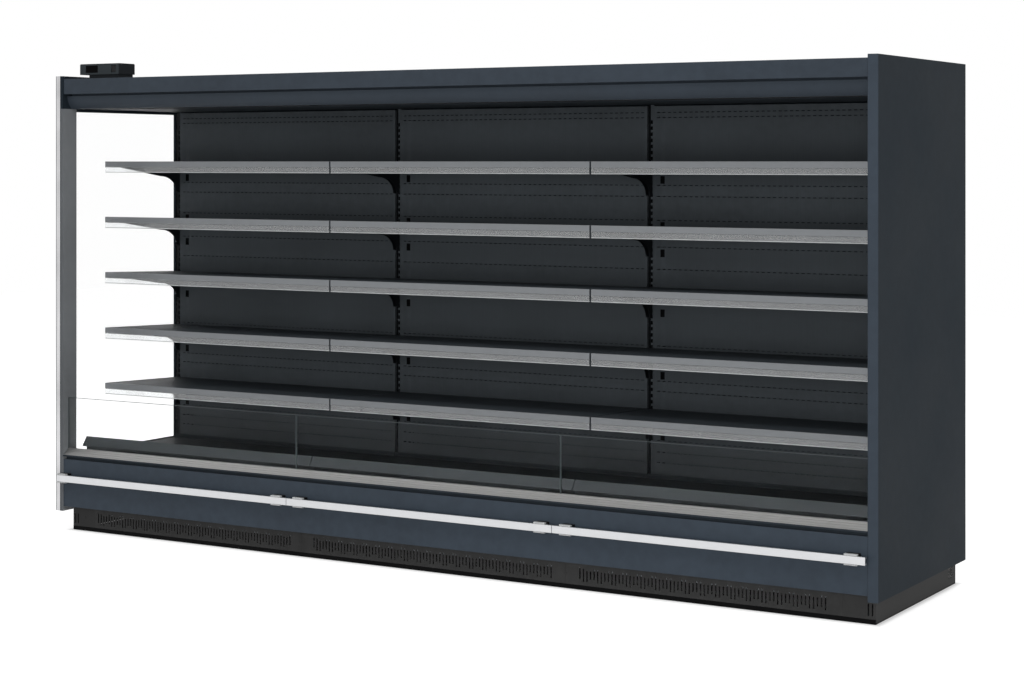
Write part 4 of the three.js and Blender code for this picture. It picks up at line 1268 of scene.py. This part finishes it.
@dataclass
class Shelving(SubAssembly):
    """Fifteen shelves: tray, brackets and ticket rail."""

    end_gap: float = 0.0035
    ticket_depth: float = 0.010
    ticket_height: float = 0.050
    ticket_bead: float = 0.0025
    bead_depth: float = 0.004
    strip_setback: float = 0.0005
    strip_play: float = 0.0003
    strip_gap: float = 0.0002
    strip_wall: float = 0.0015
    strip_hook: float = 0.012
    strip_slant: float = 0.0008
    strip_end: float = 0.001
    tray_flange: float = 0.025
    tray_rear_gap: float = 0.010
    tray_fall: float = 0.0165
    foot_fall: float = 0.0035
    blade: float = 0.0025
    blade_inset: float = 0.029
    blade_nose: float = 0.020
    taper_start: float = 0.069
    taper_end: float = 0.136
    taper_depth: float = 0.069
    blade_depth: float = 0.141
    heel: float = 0.024
    bearing: float = 0.02075
    neck: float = 0.00875
    throat: float = 0.004
    hook_tip: float = 0.003
    hook_drop: float = 0.008
    hook_plate: float = 0.005
    tongue: float = 0.094
    tongue_height: float = 0.010
    slot_x: float = 0.013
    slot_play: float = 0.00075
    end_slot_x: float = 0.012
    rib: Point = (0.045, 0.009)
    rib_slope: float = 0.006
    rib_inset: float = 0.03
    sweep_steps: int = 16

    def build(self) -> None:
        """Builds every shelf."""
        for bay, name in enumerate(BAYS):
            for level in range(1, SHELF_LEVELS + 1):
                self.shelf(bay, f"shelf_{name}_{level}")

    def shelf(self, bay: int, node: str) -> None:
        """One shelf on its own body, which stands for the CAD shelf.

        Args:
            bay: its bay.
            node: its CAD node.
        """
        low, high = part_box(node)
        span = inset((self.layout.joint(bay), self.layout.joint(bay + 1)), self.end_gap)
        near, far = low.y + self.ticket_depth, self.layout.panels - self.tray_rear_gap
        shelf = Shelf(bay, span, low.y, near, far, high.z)
        self.piece(f"{node}_tray", self.tray(shelf), SHELF_TOP, node, node, 0.0007)
        self.piece(f"{node}_brackets", self.brackets(shelf), BLACK, node, edge=0.0004)
        self.piece(f"{node}_ticket_rail", self.rail(shelf), TICKET_RAIL, node, edge=0.0004)
        clear = self.strip(shelf)
        strip = self.piece(f"{node}_ticket_strip", clear, TICKET_STRIP, node, edge=0.0002, shadow=False)
        bead = high.z - self.ticket_height + self.ticket_bead
        self.repaint(strip, TICKET_BEAD, lambda centre, normal: centre.z < bead)

    def underside(self, shelf: Shelf, y: float) -> float:
        """Height of the tray's underside at a depth."""
        return shelf.top - SHEET - self.tray_fall * (y - shelf.near) / (shelf.far - shelf.near)

    def tray(self, shelf: Shelf) -> Draft:
        """The folded tray, which falls a little to its rear, with a stiffening rib under it.

        Args:
            shelf: where the shelf is.

        Returns:
            The tray.
        """
        near, far, top = shelf.near, shelf.far, shelf.top
        foot, rear_top = top - self.tray_flange, top - self.tray_fall
        heel = foot - self.foot_fall
        inside = [
            (near + SHEET, foot), (near + SHEET, top - SHEET),
            (far - SHEET, rear_top - SHEET), (far - SHEET, heel),
        ]
        outline = [(near, foot), *inside, (far, heel), (far, rear_top), (near, top)]
        draft = Draft().extrude(outline, Axis.X, shelf.span)
        for cap in ends(shelf.span, SHEET):
            draft.extrude(inside, Axis.X, cap)
        middle = (near + far) / 2
        foot = self.underside(shelf, middle) - self.rib[1]
        start, stop = about(middle, self.rib[0])
        rib = [
            (start, self.underside(shelf, start)), (start + self.rib_slope, foot),
            (stop - self.rib_slope, foot), (stop, self.underside(shelf, stop)),
        ]
        return draft.extrude(rib, Axis.X, inset(shelf.span, self.rib_inset))

    def hook(self, top: float) -> list[Point]:
        """Outline of the tongue and the hook, from the heel upwards.

        Args:
            top: height of the shelf.

        Returns:
            The points.
        """
        rear = self.layout.panels - SEAT
        inside = self.layout.panels + SHEET + self.throat
        tip = inside + self.hook_tip
        tongue, bearing = top - self.tongue, top - self.bearing
        return [
            (rear, tongue), (inside, tongue),
            (inside, tongue + self.tongue_height), (rear, tongue + self.tongue_height),
            (rear, bearing), (inside, bearing), (inside, bearing - self.hook_drop),
            (tip, bearing - self.hook_drop), (tip, bearing + self.neck), (rear, bearing + self.neck),
        ]

    def arm(self, shelf: Shelf, hooked: bool) -> list[Point]:
        """Outline of a bracket: a tapered arm that sweeps down to its heel.

        Args:
            shelf: where the shelf is.
            hooked: whether the bracket has its own hook.

        Returns:
            The points.
        """
        top, panels = shelf.top, self.layout.panels
        rear, heel = panels - SEAT, top - self.blade_depth
        radii = (self.taper_end - self.heel, self.blade_depth - self.taper_depth)
        start = shelf.front + self.blade_inset
        return [
            (start, self.underside(shelf, start)),
            (start, top - self.blade_nose),
            (shelf.front + self.taper_start, top - self.tray_flange),
            *arc((panels - self.taper_end, heel), radii, 90, 0, self.sweep_steps),
            (rear, heel),
            *(self.hook(top) if hooked else [(rear, top - self.bearing - SHEET)]),
            (shelf.far, self.underside(shelf, shelf.far)),
        ]

    def brackets(self, shelf: Shelf) -> Draft:
        """Both brackets; the right one reaches over to the next bay's slots with a hook plate.

        Args:
            shelf: where the shelf is.

        Returns:
            The brackets.
        """
        top, blade, right = shelf.top, self.blade, shelf.span[1]
        last = shelf.bay == len(BAYS) - 1
        joint, beyond = self.layout.joint(shelf.bay), self.layout.joint(shelf.bay + 1)
        first = joint + self.slot_x + self.slot_play
        next_slot = self.slot_x - self.slot_play - blade
        hook_x = beyond - self.end_slot_x - blade / 2 if last else beyond + next_slot
        draft = Draft().extrude(self.arm(shelf, True), Axis.X, (first, first + blade))
        draft.extrude(self.arm(shelf, False), Axis.X, (right, right + blade))
        rear = self.layout.panels - SEAT
        near, heel = rear - self.hook_plate, top - self.blade_depth
        plate = [(rear, heel), *self.hook(top), (near, top - self.bearing + self.neck), (near, heel)]
        draft.extrude(plate, Axis.X, (hook_x, hook_x + blade))
        across = (min(right, hook_x), max(right, hook_x) + blade)
        return draft.block(across, (rear - blade, rear), (heel, top - self.bearing - SHEET))

    def rail(self, shelf: Shelf) -> Draft:
        """The metal nose of the shelf, which carries the ticket strip.

        Args:
            shelf: where the shelf is.

        Returns:
            The nose.
        """
        front, back, top = shelf.front, shelf.near, shelf.top
        foot = top - self.ticket_height / 2
        outline = [
            (front, top), (front, foot), (front + SHEET, foot),
            (front + SHEET, top - SHEET), (back, top - SHEET), (back, top),
        ]
        return Draft().extrude(outline, Axis.X, shelf.span)

    def strip(self, shelf: Shelf) -> Draft:
        """The clear ticket strip, which hooks up behind the nose and ends in a small bead.

        Args:
            shelf: where the shelf is.

        Returns:
            The strip.
        """
        front, foot = shelf.front, shelf.top - self.ticket_height
        nose, bead = shelf.top - self.ticket_height / 2, foot + self.ticket_bead
        face, inner, back = front + self.strip_setback, front + SHEET, front + self.bead_depth
        behind = inner + self.strip_gap
        web = behind + self.strip_wall
        outline = [
            (face, nose - self.strip_play), (face, bead + self.strip_setback), (front, bead), (front, foot),
            (back, foot), (back, foot + self.ticket_bead / 2),
            (inner, bead + self.strip_setback), (inner, nose - SHEET),
            (web, nose - self.strip_slant), (web, nose + self.strip_hook),
            (behind, nose + self.strip_hook), (behind, nose - self.strip_play),
        ]
        return Draft().extrude(outline, Axis.X, inset(shelf.span, self.strip_end))


@dataclass
class FrontWall(SubAssembly):
    """Front panel, grooved profile, riser glass and bumpers."""

    nose_height: float = 0.026
    ground_edge: float = 0.0015
    ground_gap: float = 0.0001
    panel_setback: float = 0.005
    rail_height: float = 0.0295
    rail_top: float = 0.2555
    rail_depth: float = 0.012
    rail_wall: float = 0.0025
    rail_lip: float = 0.007
    rail_round: float = 0.0022
    clip_width: float = 0.049
    clip_inset: float = 0.055
    end_inset: float = 0.027
    clip_above: float = 0.0065
    clip_below: float = 0.005
    clip_ease: float = 0.002
    clip_play: float = 0.0002
    mount_above: float = 0.005

    def build(self) -> None:
        """Builds the front wall."""
        self.softened("front_panel", GRAPHITE, 0.0008)
        self.profile("front_profile")
        for name in BAYS:
            self.glass(f"riser_glass_{name}")
            self.bumper(f"bumper_{name}")

    def profile(self, node: str) -> None:
        """The grooved profile, with a dark painted shadow on its nose below its bright face.

        Args:
            node: its CAD node.
        """
        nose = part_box(node)[1].z - self.nose_height
        skin = self.softened(node, SATIN, 0.0003, score=(Axis.Z, nose))
        # Below the score the nose takes the dark paint, a painted shadow.
        self.repaint(skin, NOSE_SHADE_PAINT, lambda centre, normal: centre.z < nose)

    def glass(self, node: str) -> None:
        """One riser glass with ground edges at its top and sides.

        Args:
            node: its CAD node.
        """
        x, y, z = limits(node)
        edge, ground = self.ground_edge, self.ground_edge - self.ground_gap
        height = (z[0], z[1] - edge)
        pane = Draft().block(inset(x, edge), y, height)
        self.piece(f"{node}_pane", pane, CLEAR, replaces=node, edge=0)
        rim = Draft().block(x, y, (z[1] - ground, z[1]))
        for side in ends(x, ground):
            rim.block(side, y, height)
        self.piece(f"{node}_edge", rim, GLASS_EDGE, edge=0)

    def bumper(self, node: str) -> None:
        """One bumper rail on two milky clips, each on a black mount.

        Args:
            node: its CAD node.
        """
        low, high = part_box(node)
        front, back = low.y, low.y + self.rail_depth
        top, foot = self.rail_top, self.rail_top - self.rail_height
        wall, lip, curve = self.rail_wall, self.rail_lip, self.rail_round
        inside = back - wall
        outline = [
            *arc((front + curve, foot + curve), (curve, curve), 270, 180, 4),
            *arc((front + curve, top - curve), (curve, curve), 180, 90, 4),
            (back, top), (back, top - lip), (inside, top - lip), (inside, top - wall),
            (front + wall, top - wall), (front + wall, foot + wall),
            (inside, foot + wall), (inside, foot + lip), (back, foot + lip), (back, foot),
        ]
        rail = Draft().extrude(outline, Axis.X, (low.x, high.x))
        self.piece(f"{node}_rail", rail, BRIGHT, replaces=node, edge=0.0003)
        ease, play = self.clip_ease, self.clip_play
        above, below, rear = top + self.clip_above, foot - self.clip_below, back + ease
        upper = [
            (front, top + play), (rear, top + play),
            (rear, above), (front + ease, above), (front, above - ease),
        ]
        lower = [
            (front, foot - play), (front, below + ease), (front + ease, below), (rear, below),
            (rear, top), (back + play, top), (back + play, foot - play),
        ]
        depth = (rear + play, self.layout.front + self.panel_setback - SEAT)
        clips, mounts = Draft(), Draft()
        first_inset = self.end_inset if node.endswith(BAYS[0]) else self.clip_inset
        for x in (low.x + first_inset, high.x - self.clip_inset):
            span = about(x, self.clip_width)
            clips.extrude(upper, Axis.X, span).extrude(lower, Axis.X, span)
            mounts.block(span, depth, (foot, top + self.mount_above))
        self.piece(f"{node}_clips", clips, CLIP, edge=0.0006)
        self.piece(f"{node}_mounts", mounts, GASKET, edge=0.0008)


@dataclass
class Plinth(SubAssembly):
    """Kick plates, corners, floor lip, tub and base frame."""

    slot_pitch: float = 0.0154
    slot_width: float = 0.006
    slot_margin: float = 0.050
    corner_margin: float = 0.010
    slot_top: float = 0.0775
    slot_foot: float = 0.0365
    top_sway: float = 0.006
    foot_sway: float = 0.007
    wave_slots: int = 4
    fastener_x: tuple[float, ...] = (-1.812, -0.633, 0.625, 1.801)
    fastener_z: float = 0.058
    fastener_radius: float = 0.007
    fastener_head: float = 0.0008
    lobe_height: float = 0.0006
    lobe_reach: float = 0.6
    lobe_half: float = 0.7
    key_slot: float = 0.002

    def build(self) -> None:
        """Builds the base."""
        for name in BAYS:
            self.kick_plate(f"kick_plate_{name}")
        for side in ("left", "right"):
            self.softened(f"plinth_corner_{side}", PLINTH, 0.0004, pierced=True)
        self.softened("floor_skirt", GASKET, 0.0008)
        self.fasteners()
        # The tub takes very dark paint, a painted shade.
        self.dress("base_tub", TUB_SHADE_PAINT)
        self.softened("base_frame", ZINC, 0.001)

    def kick_plate(self, node: str) -> None:
        """One kick plate: a wave of slots, and the flange that hooks over the frame.

        Args:
            node: its CAD node.
        """
        x, y, z = limits(node)
        margin = self.corner_margin if node.endswith(BAYS[0]) else self.slot_margin
        start, stop = x[0] + margin, x[1] - self.slot_margin
        count = int((stop - start) / self.slot_pitch)
        first = (start + stop - (count - 1) * self.slot_pitch) / 2
        holes = []
        for index in range(count):
            wave = 2 * math.pi * (index % self.wave_slots + 0.5) / self.wave_slots
            foot = self.slot_foot + self.foot_sway * math.cos(wave)
            head = self.slot_top + self.top_sway * math.sin(wave)
            holes.append((about(first + index * self.slot_pitch, self.slot_width), (foot, head)))
        draft = Draft().pierced(x, (y[0], y[0] + SHEET), z, holes)
        draft.block(x, (y[0] + SHEET, y[1]), (z[1] - SHEET, z[1]))
        self.piece(f"{node}_face", draft, PLINTH, replaces=node, edge=0)

    def fasteners(self) -> None:
        """Quarter-turn fasteners that hold the kick plates: a round head, and two lobes beside a slot."""
        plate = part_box("kick_plate_middle")[0].y
        face, radius = plate - self.fastener_head, self.fastener_radius
        height = about(self.fastener_z, 2 * radius * self.lobe_half)
        draft = Draft()
        for x in self.fastener_x:
            draft.rod((x, self.fastener_z), radius, Axis.Y, (face, plate))
            slot, reach = about(x, self.key_slot), about(x, 2 * radius * self.lobe_reach)
            for lobe in ((reach[0], slot[0]), (slot[1], reach[1])):
                draft.block(lobe, (face - self.lobe_height, face), height)
        self.piece("kick_plate_fasteners", draft, PLINTH, edge=0.0002)


@dataclass
class Cooling(SubAssembly):
    """Deck pans, fan plate, fan wheels and coil."""

    rail_depth: float = 0.032
    guard_wire: float = 0.0012
    guard_radius: float = 0.078
    guard_hub: float = 0.012
    guard_rings: int = 5
    guard_arms: int = 4
    cover_plates: int = 5
    coil_foot: float = 0.015
    fin_pitch: float = 0.008
    fin_thickness: float = 0.0003
    fin_inset: float = 0.004
    fin_gap: float = 0.001
    tube_radius: float = 0.006
    tube_inset: float = 0.0001
    tube_rows: int = 3
    tube_columns: int = 8
    tube_sides: int = 12

    def build(self) -> None:
        """Builds the cooling parts."""
        for name in BAYS:
            pan, wheel = f"deck_pan_{name}", f"fan_wheel_{name}"
            rail_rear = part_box(pan)[0].y + self.rail_depth
            skin = self.softened(pan, DECK_SHADE_PAINT, 0.0006, pan)
            self.repaint(skin, RAIL_GREY, lambda centre, normal: centre.y < rail_rear and normal.y < -PARTLY)
            self.softened(wheel, BLACK_PLASTIC, 0.0003, wheel)
        self.softened("fan_plate", ZINC, 0.0004, pierced=True)
        self.guards()
        self.coil()

    def guards(self) -> None:
        """Wire guards in front of the fan openings: rings on crossed arms."""
        wire, plate = self.guard_wire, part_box("fan_plate")[0].y
        draft = Draft()
        for name in BAYS:
            x, _, z = limits(f"fan_wheel_{name}")
            middle = Vector((along(x, 0.5), plate - wire, along(z, 0.5)))
            for ring in range(1, self.guard_rings + 1):
                draft.hoop(middle, self.guard_radius * ring / self.guard_rings, wire)
            for turn in (2 * math.pi * (arm + 0.5) / self.guard_arms for arm in range(self.guard_arms)):
                out = Vector((math.cos(turn), math.sin(turn)))
                start, stop = middle.xz + out * self.guard_hub, middle.xz + out * self.guard_radius
                side = out.orthogonal() * wire
                bar = [start - side, stop - side, stop + side, start + side]
                draft.extrude(bar, Axis.Y, (middle.y - 2 * wire, middle.y - wire / 2))
        self.piece("fan_guards", draft, BLACK_PLASTIC, edge=0)

    def coil(self) -> None:
        """The coil: cover and end plates, thin fins, and tubes through them."""
        x, y, z = limits("evaporator")
        cover = Draft().block(x, y, (z[1] - SHEET, z[1]))
        for index in range(self.cover_plates):
            middle = held(along(x, index / (self.cover_plates - 1)), inset(x, SHEET / 2))
            cover.block(about(middle, SHEET), y, (z[0], z[1] - SHEET))
        self.piece("evaporator_cover", cover, ZINC, replaces="evaporator", edge=0.0004)
        height = (z[0] + self.coil_foot, z[1])
        fin_height = (height[0], z[1] - SHEET - self.fin_gap)
        fins, count = Draft(), int((x[1] - x[0]) / self.fin_pitch)
        for index in range(1, count):
            fin = about(along(x, index / count), self.fin_thickness)
            fins.block(fin, inset(y, self.fin_inset), fin_height)
        self.piece("evaporator_fins", fins, FIN_METAL, edge=0)
        tubes = Draft()
        for column in range(self.tube_columns):
            for row in range(self.tube_rows):
                depth = along(y, (column + 0.5) / self.tube_columns)
                centre = (depth, along(height, (row + 0.5) / self.tube_rows))
                tubes.rod(centre, self.tube_radius, Axis.X, inset(x, self.tube_inset), self.tube_sides)
        self.piece("evaporator_tubes", tubes, COPPER, edge=0)


@dataclass
class Controls(SubAssembly):
    """The control box on the roof and its rocker."""

    face_height: float = 0.0475
    lens_inset: float = 0.034
    lens_width: float = 0.070
    lens_rim: float = 0.008
    lens_depth: Limits = (0.0004, 0.0025)

    def build(self) -> None:
        """Builds the control box."""
        box = self.softened("control_box", BOX_PLASTIC, 0.0009, pierced=True)
        self.softened("switch_rocker", BLACK_PLASTIC, 0.0005, "switch_rocker")
        low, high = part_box("control_box")
        floor = high.z - self.face_height
        # The box's front takes the lighter plastic, painted light.
        self.repaint(box, BOX_FACE_LIT, lambda centre, normal: normal.y < -SQUARELY and centre.z > floor)
        start = low.x + self.lens_inset
        x = inset((start, start + self.lens_width), SEAT)
        y = (low.y + self.lens_depth[0], low.y + self.lens_depth[1])
        lens = Draft().block(x, y, inset((floor, high.z), self.lens_rim + SEAT))
        self.piece("control_box_lens", lens, LENS, edge=0.0005)


# ---------------------------------------------------------------- stage


@dataclass
class Stage:
    """Floor, world, lamps and camera."""

    ambient: float = 0.35
    floor_half: float = 14.0
    floor_albedo: Colour = (0.62, 0.62, 0.62)
    floor_glow: float = 0.79
    contact_fade: Limits = (-0.02, 0.03)
    aim: Colour = (0, 0, 1.0)
    lens: float = 73.64
    sensor: float = 36.0
    shift_y: float = -0.1722
    camera_place: Colour = (4.554, -7.3725, 1.632)
    camera_turn: float = 30.785

    def build(self) -> None:
        """Builds the stage."""
        self.world()
        self.floor()
        self.lamp("key_lamp", (3.0, -9.2, 1.2), (6.0, 3.5), 440)
        self.lamp("high_lamp", (0.4, -3.6, 5.2), (5.0, 1.5), 75)
        self.lamp("right_lamp", (7.0, -1.6, 2.6), (3.0, 3.0), 50)
        self.lamp("rear_lamp", (0.0, 6.0, 4.5), (5.0, 2.5), 160)
        self.camera()
        bpy.context.scene.view_settings.view_transform = "Standard"

    def sight(self, bench: Bench) -> Socket:
        """Tells which rays show the backdrop.

        Args:
            bench: the bench of the backdrop's material or world.

        Returns:
            1 for rays from the camera, a reflection or glass that met no matt surface before.
        """
        path = bench.add("ShaderNodeLightPath").outputs
        seen = bench.sum("MAXIMUM", path["Is Camera Ray"], path["Is Glossy Ray"])
        seen = bench.sum("MAXIMUM", seen, path["Is Transmission Ray"])
        return bench.product(seen, bench.sum("LESS_THAN", path["Diffuse Depth"], 0.5))

    def world(self) -> None:
        """Plain ambient light, white where the backdrop is seen."""
        world = bpy.data.worlds.new("studio")
        bpy.context.scene.world = world
        world.use_nodes = True
        world.node_tree.nodes.clear()
        bench = Bench(world.node_tree)
        dim, white = (
            bench.add("ShaderNodeBackground", Color=(1, 1, 1, 1), Strength=strength).outputs[0]
            for strength in (self.ambient, 1.0)
        )
        mix = bench.add("ShaderNodeMixShader", self.sight(bench), dim, white)
        bench.add("ShaderNodeOutputWorld", Surface=mix.outputs[0])

    def floor(self) -> None:
        """A plain pale floor that keeps the cabinet's shadow."""
        half = self.floor_half
        draft = Draft()
        corners = [(-half, -half), (half, -half), (half, half), (-half, half)]
        draft.shape.faces.new([draft.shape.verts.new((x, y, 0)) for x, y in corners])
        floor = placed("floor", draft.mesh("floor"))
        made = bpy.data.materials.new("pale_floor")
        made.use_nodes = True
        made.node_tree.nodes.clear()
        bench = Bench(made.node_tree)
        matt = bench.add("ShaderNodeBsdfDiffuse", Color=(*self.floor_albedo, 1))
        strength = bench.product(self.sight(bench), self.outside_plinth(bench), self.floor_glow)
        glow = bench.add("ShaderNodeEmission", Color=(1, 1, 1, 1), Strength=strength)
        both = bench.add("ShaderNodeAddShader", matt.outputs[0], glow.outputs[0])
        bench.add("ShaderNodeOutputMaterial", Surface=both.outputs[0])
        floor.data.materials.append(made)

    def outside_plinth(self, bench: Bench) -> Socket:
        """Tells the floor under the plinth from the rest.

        Args:
            bench: the bench of the floor's material.

        Returns:
            0 under the plinth, rising to 1 just outside it.
        """
        side, depth = limits("plinth_corner_right")[0][1], limits("plinth_corner_left")[1]
        position = bench.add("ShaderNodeNewGeometry").outputs["Position"]
        place = bench.add("ShaderNodeSeparateXYZ", position).outputs
        across = bench.sum("SUBTRACT", bench.sum("ABSOLUTE", place["X"]), side)
        back = bench.sum("ABSOLUTE", bench.sum("SUBTRACT", place["Y"], along(depth, 0.5)))
        back = bench.sum("SUBTRACT", back, (depth[1] - depth[0]) / 2)
        return bench.range(bench.sum("MAXIMUM", across, back), self.contact_fade, (0, 1))

    def lamp(self, name: str, place: Colour, size: Point, power: float) -> None:
        """A soft rectangular lamp that looks at the cabinet's middle.

        Args:
            name: the lamp's name.
            place: where it stands.
            size: its width and height.
            power: its power in watts.
        """
        data = bpy.data.lights.new(name, "AREA")
        data.shape = "RECTANGLE"
        data.size, data.size_y = size
        data.energy = power
        lamp = placed(name, data)
        lamp.location = place
        lamp.rotation_euler = (Vector(self.aim) - Vector(place)).to_track_quat("-Z", "Y").to_euler()
        lamp.visible_camera = False
        lamp.visible_glossy = False

    def camera(self) -> None:
        """The camera at the photograph's viewpoint, level, with a vertical shift."""
        data = bpy.data.cameras.new("camera")
        data.sensor_fit = "HORIZONTAL"
        data.sensor_width = self.sensor
        data.lens = self.lens
        data.shift_y = self.shift_y
        camera = placed("camera", data)
        camera.location = self.camera_place
        camera.rotation_euler = (math.pi / 2, 0, math.radians(self.camera_turn))
        bpy.context.scene.camera = camera


def main() -> None:
    """Builds the cabinet's looks around the solid model, and the stage."""
    logging.basicConfig(level=logging.INFO, format="%(name)s: %(message)s")
    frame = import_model()
    for build_group in (grain_group, drawn_group, spangle_group, wear_group, dust_group):
        build_group()
    layout = Layout.read(frame["nodes"])
    Stage().build()
    for kind in (Casework, Canopy, RearDuct, Shelving, FrontWall, Plinth, Cooling, Controls):
        kind(layout).build()
        log.info("%s is built", kind.__name__)


if __name__ == "__main__":
    main()
